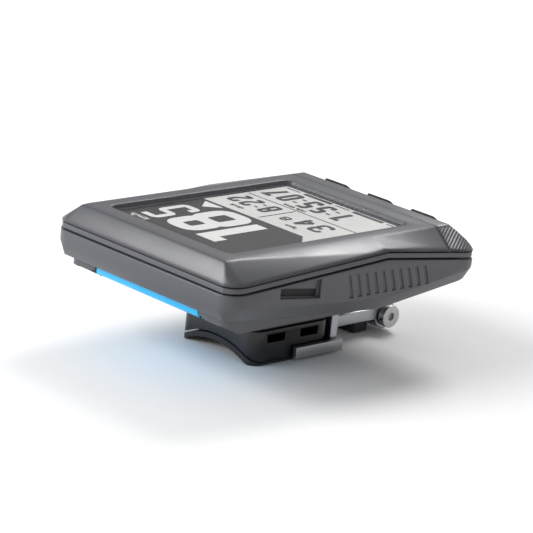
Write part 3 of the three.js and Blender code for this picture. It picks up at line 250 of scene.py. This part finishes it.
def spring_bronze():
    """Rolled phosphor bronze of the contacts and the antenna: yellow-brown, drawn lengthways."""
    return surface_finish("phosphor_bronze", "#c08f52", 0.3, grain=0.2, depth=0.003, edge=0.06,
                          second="#cc9f63", stretch=(1, 0.1, 1), Metallic=1.0)[0]


def black_frame():
    """Black PBT of the display frame and the key wedge: matt, so that no light shows inside."""
    return surface_finish("moulded_pbt", "#131315", 0.6, grain=0.3, depth=0.008, edge=0.15,
                          IOR=1.55)[0]


def white_plastic():
    """White acetal of the plungers and the connector: waxy, with a soft sheen."""
    return surface_finish("white_acetal", "#e6e5df", 0.36, grain=0.4, depth=0.003, edge=0.12,
                          second="#efeeea", IOR=1.48)[0]


def diffuser():
    """Opal acrylic of the light guide behind the display: white and even."""
    return surface_finish("opal_acrylic", "#f0f2ee", 0.42, grain=0.4, depth=0.002, edge=0.1,
                          IOR=1.49)[0]


def moulded_epoxy():
    """Transfer-moulded epoxy of the chips, the buzzer and the switches: charcoal and gritty."""
    return surface_finish("moulded_epoxy", "#1d1e20", 0.62, grain=0.12, depth=0.006, edge=0.08,
                          second="#262729", IOR=1.55)[0]


def polyimide():
    """Polyimide film of the display's flex: amber, glossy, with copper traces under it that run
    along the flex.
    """
    pitch, edge_low, edge_high = 0.5, 0.45, 0.55
    material, tree, body, _ = surface_finish("polyimide_film", "#a8661c", 0.28, grain=0.6,
                                             depth=0.003, edge=0.04, IOR=1.7)
    place = add(tree, "TexCoord").outputs["Object"]
    lines = add(tree, "TexWave", {"Scale": stripes(pitch)}, {"Vector": place},
                bands_direction="X")
    trace = add(tree, "MapRange", {"From Min": edge_low, "From Max": edge_high},
                {"Value": lines.outputs["Fac"]})
    blend_colours(tree, body, "#8a4d12", "#bf7c2c", trace.outputs["Result"])
    return material


def circuit_board():
    """Glass-fibre board under green solder mask: traces show as paler, slightly raised paths.

    The traces follow the borders of irregular cells: trace_half and fade_end are distances from a
    border as shares of a cell.
    """
    cell, trace_half, fade_end, relief = 2.5, 0.06, 0.1, 0.035 * MM
    material, tree, body, bump = surface_finish("solder_masked_board", "#0f4a2a", 0.32, grain=0.3,
                                                depth=0.003, edge=0.06, IOR=1.55)
    place = add(tree, "TexCoord").outputs["Object"]
    cells = add(tree, "TexVoronoi", {"Scale": per_mm(cell), "Randomness": 0.7}, {"Vector": place},
                feature="DISTANCE_TO_EDGE", distance="EUCLIDEAN")
    trace = add(tree, "MapRange", {"From Min": trace_half, "From Max": fade_end, "To Min": 1.0,
                                   "To Max": 0.0}, {"Value": cells.outputs["Distance"]})
    raised = add(tree, "Bump", {"Strength": 1.0, "Distance": relief},
                 {"Height": trace.outputs["Result"], "Normal": bump.outputs["Normal"]})
    blend_colours(tree, body, "#0c3f24", "#1d6b3d", trace.outputs["Result"])
    tree.links.new(raised.outputs["Normal"], body.inputs["Normal"])
    return material


def display_glass():
    """Reflective liquid-crystal glass at rest: pale grey, with its dot grid just visible.

    The dots are drawn further apart than the real 0.2 mm, so that they show.
    """
    pitch = 0.4
    material, tree, body, _ = surface_finish("liquid_crystal_glass", "#dfe0de", 0.3, grain=0.5,
                                             depth=0.001, edge=0.05, IOR=1.52)
    place = add(tree, "TexCoord").outputs["Object"]
    across = add(tree, "TexWave", {"Scale": stripes(pitch)}, {"Vector": place},
                 bands_direction="X")
    along = add(tree, "TexWave", {"Scale": stripes(pitch)}, {"Vector": place},
                bands_direction="Y")
    dots = add(tree, "Math", None, {0: across.outputs["Fac"], 1: along.outputs["Fac"]},
               operation="MULTIPLY")
    blend_colours(tree, body, "#d3d4d2", "#e6e7e5", dots.outputs["Value"])
    return material


def window():
    """Hard-coated clear polycarbonate lens: what is under it shows through, and it mirrors the
    room more as the view gets flatter.

    Light that leaves the lens from inside isn't mirrored again. coat_index is the coat's index of
    refraction, and mirror_index a lower one that gives the share of the light that it mirrors.
    """
    coat_index, mirror_index = 1.5, 1.16
    material, tree, output = new_material("hard_coated_lens")
    clear = add(tree, "BsdfTransparent", {"Color": linear("#fefefe")})
    coat = add(tree, "BsdfPrincipled", {"Base Color": linear("#0b0c0d"), "Roughness": 0.08,
                                        "IOR": coat_index})
    mirrored = add(tree, "Fresnel", {"IOR": mirror_index})
    inside = add(tree, "NewGeometry").outputs["Backfacing"]
    share = add(tree, "MapRange", {"To Min": 1.0, "To Max": 0.0}, {"Value": inside})
    amount = add(tree, "Math", None, {0: mirrored.outputs["Fac"], 1: share.outputs["Result"]},
                 operation="MULTIPLY")
    mix = add(tree, "MixShader", None, {0: amount.outputs["Value"], 1: clear.outputs["BSDF"],
                                        2: coat.outputs["BSDF"]})
    tree.links.new(mix.outputs["Shader"], output.inputs["Surface"])
    return material


def dark_segment():
    """A driven liquid-crystal cell: charcoal, never quite black, with the glass's own gloss."""
    return surface_finish("driven_crystal", "#252628", 0.34, grain=0.5, depth=0.001, edge=0.02,
                          second="#2a2b2d", IOR=1.52)[0]


def pale_segment():
    """An undriven cell inside the inverted field: as pale as the rest of the glass."""
    return surface_finish("undriven_crystal", "#e4e5e3", 0.34, grain=0.5, depth=0.001, edge=0.02,
                          IOR=1.52)[0]


def lens_print():
    """Ink printed round the lens's underside, matched to the casing: satin grey."""
    return surface_finish("printed_border_ink", "#47484e", 0.3, grain=0.4, depth=0.001, edge=0.02,
                          IOR=1.5)[0]


# ---- Meshes --------------------------------------------------------------------------------------
SAME_POINT = 1e-9  # metres; points of a path closer than this count as one
WELD = 0.001 * MM  # CAD points closer than this are merged
FLAT_TURN = math.radians(0.6)  # faces that turn by less are merged into one


def mesh_piece(name, points, faces, material, body):
    """A mesh object from points in metres and faces, riding on a CAD body."""
    mesh = bpy.data.meshes.new(name)
    mesh.from_pydata(np.asarray(points).tolist(), [], [list(face) for face in faces])
    mesh.update()
    mesh.materials.append(material)
    piece = new_object(name, mesh)
    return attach(piece, body)


def merged(parts):
    """Several (points, faces) pairs as one: face numbers move up by the points before them."""
    starts = np.cumsum([0] + [len(points) for points, _ in parts])
    points = np.concatenate([points for points, _ in parts])
    faces = np.concatenate([faces + start for (_, faces), start in zip(parts, starts)])
    return points, faces


def rounded_path(corners, radius, closed=False, steps=6):
    """A flat path with round corners. A corner c becomes the curve (1-t)^2 a + 2t(1-t) c + t^2 b.
    There a and b lie a radius away along its two sides, or halfway along a side that is too short
    for that.
    """
    corners = np.asarray(corners, float)
    before = np.roll(corners, 1, axis=0) - corners
    after = np.roll(corners, -1, axis=0) - corners
    lengths = [np.linalg.norm(v, axis=1, keepdims=True) for v in (before, after)]
    a, b = [corners + v / n * np.minimum(radius, n / 2) for v, n in zip((before, after), lengths)]
    t = np.linspace(0, 1, steps)[None, :, None]
    curve = (1 - t) ** 2 * a[:, None] + 2 * t * (1 - t) * corners[:, None] + t**2 * b[:, None]
    if closed:
        return curve.reshape(-1, 2)
    return np.concatenate([corners[:1], curve[1:-1].reshape(-1, 2), corners[-1:]])


def ribbon(path, width, low, high, closed=False):
    """A flat bar along a path: a rectangle, width by high - low, is carried along it. At each point
    its sides lie along the mitre, the sum of the two segments' normals over 1 + their cosine.
    Points that repeat the next one are left out first.
    """
    path = np.asarray(path, float)
    keep = np.linalg.norm(np.diff(path, axis=0, append=path[:1]), axis=1) > SAME_POINT
    keep[-1] = keep[-1] or not closed
    path = path[keep]
    ahead = np.roll(path, -1, axis=0) - path
    ahead /= np.linalg.norm(ahead, axis=1, keepdims=True)
    if not closed:
        ahead[-1] = ahead[-2]
    behind = np.roll(ahead, 1, axis=0)
    if not closed:
        behind[0] = ahead[0]
    normal = np.stack([-ahead[:, 1] - behind[:, 1], ahead[:, 0] + behind[:, 0]], axis=1)
    normal /= (1 + np.sum(ahead * behind, axis=1, keepdims=True))
    left, right = path + normal * width / 2, path - normal * width / 2
    ring = [np.column_stack([edge, np.full(len(path), z)])
            for edge, z in ((left, low), (right, low), (right, high), (left, high))]
    points = np.stack(ring, axis=1).reshape(-1, 3)
    count = len(path) if closed else len(path) - 1
    i = np.arange(count)[:, None]
    j = np.arange(4)[None, :]
    after, beside = (i + 1) % len(path) * 4, (j + 1) % 4
    faces = np.stack([i * 4 + j, i * 4 + beside, after + beside, after + j], axis=-1).reshape(-1, 4)
    if not closed:
        last = 4 * (len(path) - 1)
        faces = np.concatenate([faces, [[3, 2, 1, 0], [last, last + 1, last + 2, last + 3]]])
    return points, faces[:, ::-1]


def prism(outline, low, high):
    """A flat convex plate: the outline at two heights, joined by quads and closed by two faces."""
    outline = np.asarray(outline, float)
    count = len(outline)
    points = np.concatenate([np.column_stack([outline, np.full(count, z)]) for z in (low, high)])
    i = np.arange(count)
    after = (i + 1) % count
    walls = np.stack([i, after, after + count, i + count], axis=1).tolist()
    return points, walls + [list(range(count))[::-1], list(range(count, 2 * count))]


def softened(node, width, material, turn=28.0, segments=3):
    """A CAD piece with rounded edges, standing for its node.

    The loose triangles are merged and flat runs of them become single faces. Each edge where two
    faces turn by more than the angle becomes an arc in segments, as wide as width in millimetres,
    or less where edges are close. Faces that turn by less are shaded as one smooth surface.
    """
    source = NODES[node]
    work = bmesh.new()
    work.from_mesh(source.data)
    bmesh.ops.remove_doubles(work, verts=work.verts, dist=WELD)
    bmesh.ops.dissolve_limit(work, angle_limit=FLAT_TURN, verts=work.verts, edges=work.edges,
                             use_dissolve_boundaries=False)
    sharp = [e for e in work.edges
             if len(e.link_faces) == 2 and e.calc_face_angle(0.0) > math.radians(turn)]
    bmesh.ops.bevel(work, geom=sharp, offset=width * MM, offset_type="OFFSET", segments=segments,
                    profile=0.5, affect="EDGES", clamp_overlap=True)
    bmesh.ops.triangulate(work, faces=[f for f in work.faces if len(f.verts) > 4])
    for face in work.faces:
        face.smooth = True
    for edge in work.edges:
        edge.smooth = edge.calc_face_angle(0.0) < math.radians(turn)
    mesh = bpy.data.meshes.new(node + "_soft")
    work.to_mesh(mesh)
    work.free()
    mesh.materials.append(material)
    piece = new_object(node + "_soft", mesh)
    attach(piece, source["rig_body"])
    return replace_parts(piece, node)


# ---- The display's figures -----------------------------------------------------------------------
# Places on the display are shares of its size: across from the rider's left, back from the front.
PRINT = 0.012 * MM  # thickness of a printed layer
FIELD_LOW = DISPLAY_HIGH.z + 0.01 * MM  # the inverted field, just over the glass
MARK_LOW = FIELD_LOW + 2 * PRINT  # everything else, over the field
MARK_HIGH = MARK_LOW + PRINT
LAP = 0.003 * MM  # how much higher each further stroke of a figure lies, where two cross
COLON_WIDTH = 0.36  # as a share of a figure's width, as the next one
FIGURE_GAP = 0.32
FONT_SIZE = 1.4  # of the field names, over their height, as the next one
BOLDER = 0.02  # how far their outlines are moved out

# Each figure's strokes, in a box from 0 to 1: how round the bends are as a share of the width,
# whether the stroke is closed, and its corner points.
BOWL = 0.34
BEND = 0.24
POINT = 0.0
FIGURES = {
    "0": [(BOWL, True, [(0, 0), (1, 0), (1, 1), (0, 1)])],
    "1": [(POINT, False, [(-0.25, 1), (0.62, 1), (0.62, 0)])],
    "2": [(BOWL, False, [(0, 0.74), (0, 1), (1, 1), (1, 0.56), (0, 0.1), (0, 0), (1, 0)])],
    "3": [(BOWL, False, [(0, 0.78), (0, 1), (1, 1), (1, 0.52), (0.35, 0.52)]),
          (BOWL, False, [(0.35, 0.52), (1, 0.52), (1, 0), (0, 0), (0, 0.22)])],
    "4": [(POINT, False, [(0.74, 0), (0.74, 1)]), (POINT, False, [(0.7, 1), (0, 0.3)]),
          (POINT, False, [(0, 0.28), (1, 0.28)])],
    "5": [(BEND, False, [(0.98, 1), (0, 1), (0, 0.58), (1, 0.58), (1, 0), (0, 0), (0, 0.2)])],
    "7": [(POINT, False, [(0, 1), (1, 1), (0.34, 0)])],
    "8": [(BOWL, True, [(0.06, 0.53), (0.94, 0.53), (0.94, 1), (0.06, 1)]),
          (BOWL, True, [(0, 0), (1, 0), (1, 0.53), (0, 0.53)])],
    ":": [(POINT, False, [(0.5, 0.2), (0.5, 0.3)]), (POINT, False, [(0.5, 0.7), (0.5, 0.8)])],
}

SPEED = [  # figure, left, right, front, back, weight in millimetres
    ("1", 0.235, 0.475, 0.078, 0.462, 2.9),
    ("8", 0.455, 0.755, 0.078, 0.462, 2.7),
    ("5", 0.785, 0.945, 0.078, 0.35, 1.35),
]
READINGS = [  # figures, left, right, front, back, weight in millimetres
    ("34", 0.13, 0.375, 0.585, 0.712, 0.8),  # heart rate
    ("8", 0.41, 0.475, 0.585, 0.64, 0.42),  # its raised figure
    ("8:22", 0.6, 0.95, 0.585, 0.712, 0.8),  # clock
    ("1:55:07", 0.27, 0.95, 0.8, 0.945, 0.95),  # ride time
]
FIELD = [(0, 0.41), (0.11, 0.49), (1, 0.49), (1, 0), (0, 0)]  # corners of the inverted field
ARROW = [(0.78, 0.468), (0.95, 0.468), (0.865, 0.395)]  # corners of the trend arrow
RULES = [  # start, end, width in millimetres
    ((0.02, 0.748), (0.98, 0.748), 0.22),  # over the ride time
    ((0.535, 0.515), (0.535, 0.735), 0.22),  # between heart rate and clock
    ((0.115, 0.978), (0.375, 0.978), 0.95),  # thick key bars
    ((0.565, 0.978), (0.81, 0.978), 0.95),
    ((0.02, 0.978), (0.08, 0.978), 0.3),  # thin dashes between them
    ((0.41, 0.978), (0.53, 0.978), 0.3),
    ((0.85, 0.978), (0.97, 0.978), 0.3),
]


def at(across, back):
    """The point on the display at these shares."""
    return np.array([DISPLAY_LOW.x + across * (DISPLAY_HIGH.x - DISPLAY_LOW.x),
                     DISPLAY_HIGH.y - back * (DISPLAY_HIGH.y - DISPLAY_LOW.y)])


def figure(sign, left, right, front, back, weight):
    """One figure as flat bars: its strokes, scaled into a box less half the stroke's weight."""
    thickness = weight * MM
    corner_low, corner_high = at(left, back), at(right, front)
    inner_low, size = corner_low + thickness / 2, corner_high - corner_low - thickness
    parts = []
    for i, (bend, closed, corners) in enumerate(FIGURES[sign]):
        path = rounded_path(inner_low + np.array(corners) * size, bend * size[0], closed)
        parts.append(ribbon(path, thickness, MARK_LOW + i * LAP, MARK_HIGH + i * LAP, closed))
    return parts


def figures(text, left, right, front, back, weight):
    """A row of figures of equal width between two sides, with narrow colons."""
    widths = np.array([COLON_WIDTH if sign == ":" else 1.0 for sign in text])
    unit = (right - left) / (widths.sum() + FIGURE_GAP * (len(text) - 1))
    starts = left + unit * (np.cumsum(widths) - widths + FIGURE_GAP * np.arange(len(text)))
    parts = []
    for sign, start, width in zip(text, starts, widths):
        parts += figure(sign, start, start + unit * width, front, back, weight)
    return parts


def words(text, height, across, back):
    """A small unit or field name in plain type, centred on a place on the display: flat outlines,
    made slightly bolder, filled and given a thickness.
    """
    curve = bpy.data.curves.new("lettering", "FONT")
    curve.body = text
    curve.size = height * MM * FONT_SIZE
    curve.align_x = "CENTER"
    curve.align_y = "CENTER"
    curve.resolution_u = 2
    curve.offset = BOLDER * height * MM
    curve.extrude = (MARK_HIGH - MARK_LOW) / 2
    holder = new_object("lettering", curve)
    evaluated = holder.evaluated_get(bpy.context.evaluated_depsgraph_get())
    mesh = bpy.data.meshes.new_from_object(evaluated)
    mesh.transform(Matrix.Translation((*at(across, back), (MARK_LOW + MARK_HIGH) / 2)))
    bpy.data.objects.remove(holder)
    return mesh


def display_field(material):
    """The inverted field over the display's front half: a five-sided plate, one corner cut off."""
    points, faces = prism([at(*place) for place in FIELD], FIELD_LOW, FIELD_LOW + PRINT)
    return mesh_piece("display_inverted_field", points, faces, material, "head")


def display_speed(material):
    """The large speed, its small decimal and the trend arrow, pale on the inverted field."""
    points, faces = prism([at(*place) for place in ARROW], MARK_LOW, MARK_HIGH)
    piece = mesh_piece("display_trend_arrow", points, faces, material, "head")
    parts = [part for row in SPEED for part in figure(*row)]
    return mesh_piece("display_speed", *merged(parts), material, "head")


def display_readings(material):
    """The readings on the plain half: heart rate with a raised figure, clock and ride time."""
    parts = [part for row in READINGS for part in figures(*row)]
    return mesh_piece("display_readings", *merged(parts), material, "head")


def display_rules(material):
    """The thin rules between the fields, and the bars and dashes along the edge by the keys."""
    parts = [ribbon([at(*start), at(*end)], width * MM, MARK_LOW, MARK_HIGH)
             for start, end, width in RULES]
    return mesh_piece("display_rules", *merged(parts), material, "head")


def display_words(dark, pale):
    """The unit in the inverted field and the fields' names, as small plain type."""
    named = [  # text, height in millimetres, its middle across and back, finish
        ("km/h", 1.5, 0.86, 0.035, pale),
        ("bpm", 1.1, 0.3, 0.545, dark),
        ("clock", 1.1, 0.78, 0.545, dark),
        ("ride time", 1.1, 0.6, 0.772, dark),
    ]
    for text, height, across, back, material in named:
        mesh = words(text, height, across, back)
        mesh.materials.clear()
        mesh.materials.append(material)
        name = "display_word_" + text.replace("/", "").replace(" ", "_")
        piece = new_object(name, mesh)
        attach(piece, "head")


def lens_border(material):
    """The band printed under the lens's margin: a bar carried round a rounded rectangle.

    It stops just outside the display. inset is half its width.
    """
    clear, corner, gap = 0.08 * MM, 1.0 * MM, 0.01 * MM
    inset = (LENS_HIGH.x - DISPLAY_HIGH.x - clear) / 2
    low, high = LENS_LOW.xy, LENS_HIGH.xy
    corners = [(low.x + inset, low.y + inset), (high.x - inset, low.y + inset),
               (high.x - inset, high.y - inset), (low.x + inset, high.y - inset)]
    path = rounded_path(corners, corner, closed=True)
    top = LENS_LOW.z - gap
    points, faces = ribbon(path, 2 * inset, top - PRINT, top, closed=True)
    return mesh_piece("lens_printed_border", points, faces, material, "head")


# ---- Moulded details -----------------------------------------------------------------------------
def slot_painted_shade(material):
    """Painted shade in each side recess's slot: a thin plate in the pad's dark rubber finish at the
    slot's bottom, standing for the shade there. It drops towards the rear, and its edges run a
    little into the slot's walls.
    """
    front, rear = CASE_HIGH.y - 11.3 * MM, CASE_HIGH.y - 21.0 * MM
    # The plate's corners as seen from the side: along the part, then up.
    outline = [(rear, 16.5 * MM), (front, 17.7 * MM), (front, 19.2 * MM), (rear, 18.2 * MM)]
    half = 0.05 * MM  # of the plate's thickness
    points, faces = prism(outline, -half, half)
    faces = np.array(faces)
    # Each plate is painted shade at the bottom of a slot.
    for name, side in (("left", -1), ("right", 1)):
        floor = (CASE_HIGH.x if side > 0 else CASE_LOW.x) - side * SLOT_DEPTH
        placed = np.column_stack([floor + side * points[:, 2], points[:, 0], points[:, 1]])
        outward = faces if side > 0 else faces[:, ::-1]
        piece = mesh_piece("side_slot_painted_shade_" + name, placed, outward, material, "head")


def door_grip(material):
    """Low bars across the underside of the cell door, for a thumb to push."""
    count, pitch, first = 5, 1.4, 3.5  # first is the first bar's distance from the door's front
    half_length, width = 4.5 * MM, 0.6 * MM
    stand, sink = 0.12 * MM, 0.1 * MM  # out of the door and into it
    low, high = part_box("cell_door")
    rows = high.y - (first + pitch * np.arange(count)) * MM
    parts = [ribbon([(-half_length, y), (half_length, y)], width, low.z - stand, low.z + sink)
             for y in rows]
    return mesh_piece("cell_door_grip", *merged(parts), material, "door")


# ---- Dressing the model --------------------------------------------------------------------------
cover, shell, cap = moulded_casing("cover", 0.8), moulded_casing("shell", 0.3), ribbed_cap()
seal, pad, key_skin = seal_elastomer(), pad_rubber(), key_silicone()
nylon, blue, alloy, zinc = gloss_nylon(), door_polycarbonate(), anodised_aluminium(), zinc_steel()
nickel, bronze, black, acetal = nickel_can(), spring_bronze(), black_frame(), white_plastic()
epoxy, board = moulded_epoxy(), circuit_board()
segment, unlit = dark_segment(), pale_segment()

SOFTENED = {  # node: rounding in millimetres, finish, material slot
    "top_cover": (0.3, cover, "casing"),
    "key_cap": (0.3, cap, "casing"),
    "seal_band": (0.12, seal, "seal_rubber"),
    "rear_shell": (0.25, shell, "casing"),
    "cell_door": (0.2, blue, "blue_plastic"),
    "twist_socket": (0.2, nylon, "mount_black"),
    "saddle": (0.25, nylon, "mount_black"),
    "saddle_pad": (0.15, pad, "pad_rubber"),
    "rear_stay": (0.2, alloy, "stay_grey"),
    "stay_foot": (0.3, pad, "pad_rubber"),
    "stay_nut": (0.15, zinc, "screw_steel"),
    "stay_bolt": (0.15, zinc, "screw_steel"),
    **{f"key_{side}": (0.3, key_skin, "key_rubber") for side in KEYS},
}
for node, (width, material, slot) in SOFTENED.items():
    softened(node, width, material)

PLAIN = {  # finish: nodes that keep their CAD meshes
    window(): ["lens"],
    display_glass(): ["lcd_panel"],
    diffuser(): ["backlight"],
    polyimide(): ["lcd_flex"],
    black: ["lcd_frame", "key_wedge"],
    seal: ["door_seal", "friction_ring"],
    nylon: ["twist_boss"],
    board: ["main_board", "key_board"],
    nickel: ["shield_can", "crystal_can", "coin_cell"],
    bronze: ["antenna", "cell_contact_side", "cell_contact_top"],
    epoxy: ["radio_chip", "memory_chip", "buzzer", *[f"switch_{side}" for side in KEYS]],
    acetal: ["key_connector", *[f"plunger_{side}" for side in KEYS]],
    zinc: [name for name in NODES if "_screw_" in name],
}
for material, names in PLAIN.items():
    for name in names:
        NODES[name].data.materials.clear()
        NODES[name].data.materials.append(material)

display_field(segment)
display_speed(unlit)
display_readings(segment)
display_rules(segment)
display_words(segment, unlit)
lens_border(lens_print())
# Dark plates that paint the shade in the two side slots.
slot_painted_shade(pad)
door_grip(blue)


# ---- Studio --------------------------------------------------------------------------------------
def studio_floor():
    """A large pale matt floor just under the part's feet."""
    half, bottom, top = 3.0, -0.01, -0.0001
    corners = [(-half, -half), (half, -half), (half, half), (-half, half)]
    points, faces = prism(corners, bottom, top)
    mesh = bpy.data.meshes.new("studio_floor")
    mesh.from_pydata(points.tolist(), [], faces)
    material, tree, output = new_material("pale_matt_floor")
    paint = add(tree, "BsdfPrincipled", {"Base Color": linear("#f1f1f1"), "Roughness": 0.7})
    tree.links.new(paint.outputs["BSDF"], output.inputs["Surface"])
    mesh.materials.append(material)
    floor = new_object("studio_floor", mesh)


def softbox(name, place, target, size, power):
    """A square area light at a place, facing a target. size is in metres and power in watts."""
    light = bpy.data.lights.new(name, "AREA")
    light.size = size
    light.energy = power
    lamp = new_object(name, light)
    lamp.location = place
    lamp.rotation_euler = (Vector(target) - Vector(place)).to_track_quat("-Z", "Y").to_euler()


def studio_light():
    """An even white room, a small light behind the part and a broad one in front, both high and
    to its right.
    """
    world = bpy.data.worlds.new("studio_air")
    world.use_nodes = True
    world.node_tree.nodes["Background"].inputs["Color"].default_value = linear("#ffffff")
    world.node_tree.nodes["Background"].inputs["Strength"].default_value = 0.5
    bpy.context.scene.world = world
    middle = (0, 0, 0.012)
    softbox("rear_softbox", (0.186, -0.403, 0.428), middle, 0.22, 1.7)
    softbox("front_softbox", (0.34, 0.56, 0.38), middle, 0.5, 6.5)


def studio_camera():
    """A long lens at the part's front left and a little above it. Its upward direction leans as
    when the part is seen tilted on a handlebar.
    """
    eye = Vector((-324.33, 328.29, 150.02)) * MM
    target = Vector((0.5, -0.5, 14.0)) * MM
    tilted_up = Vector((0.3089, -0.1613, 0.9373))
    forward = (target - eye).normalized()
    right = forward.cross(tilted_up).normalized()
    up = right.cross(forward)
    data = bpy.data.cameras.new("studio_camera")
    data.lens = 184.0
    data.clip_start, data.clip_end = 0.01, 20.0
    camera = new_object("studio_camera", data)
    turn = Matrix((right, up, -forward)).transposed().to_4x4()
    camera.matrix_world = Matrix.Translation(eye) @ turn
    bpy.context.scene.camera = camera


studio_floor()
studio_light()
studio_camera()
bpy.context.scene.view_settings.view_transform = "Standard"
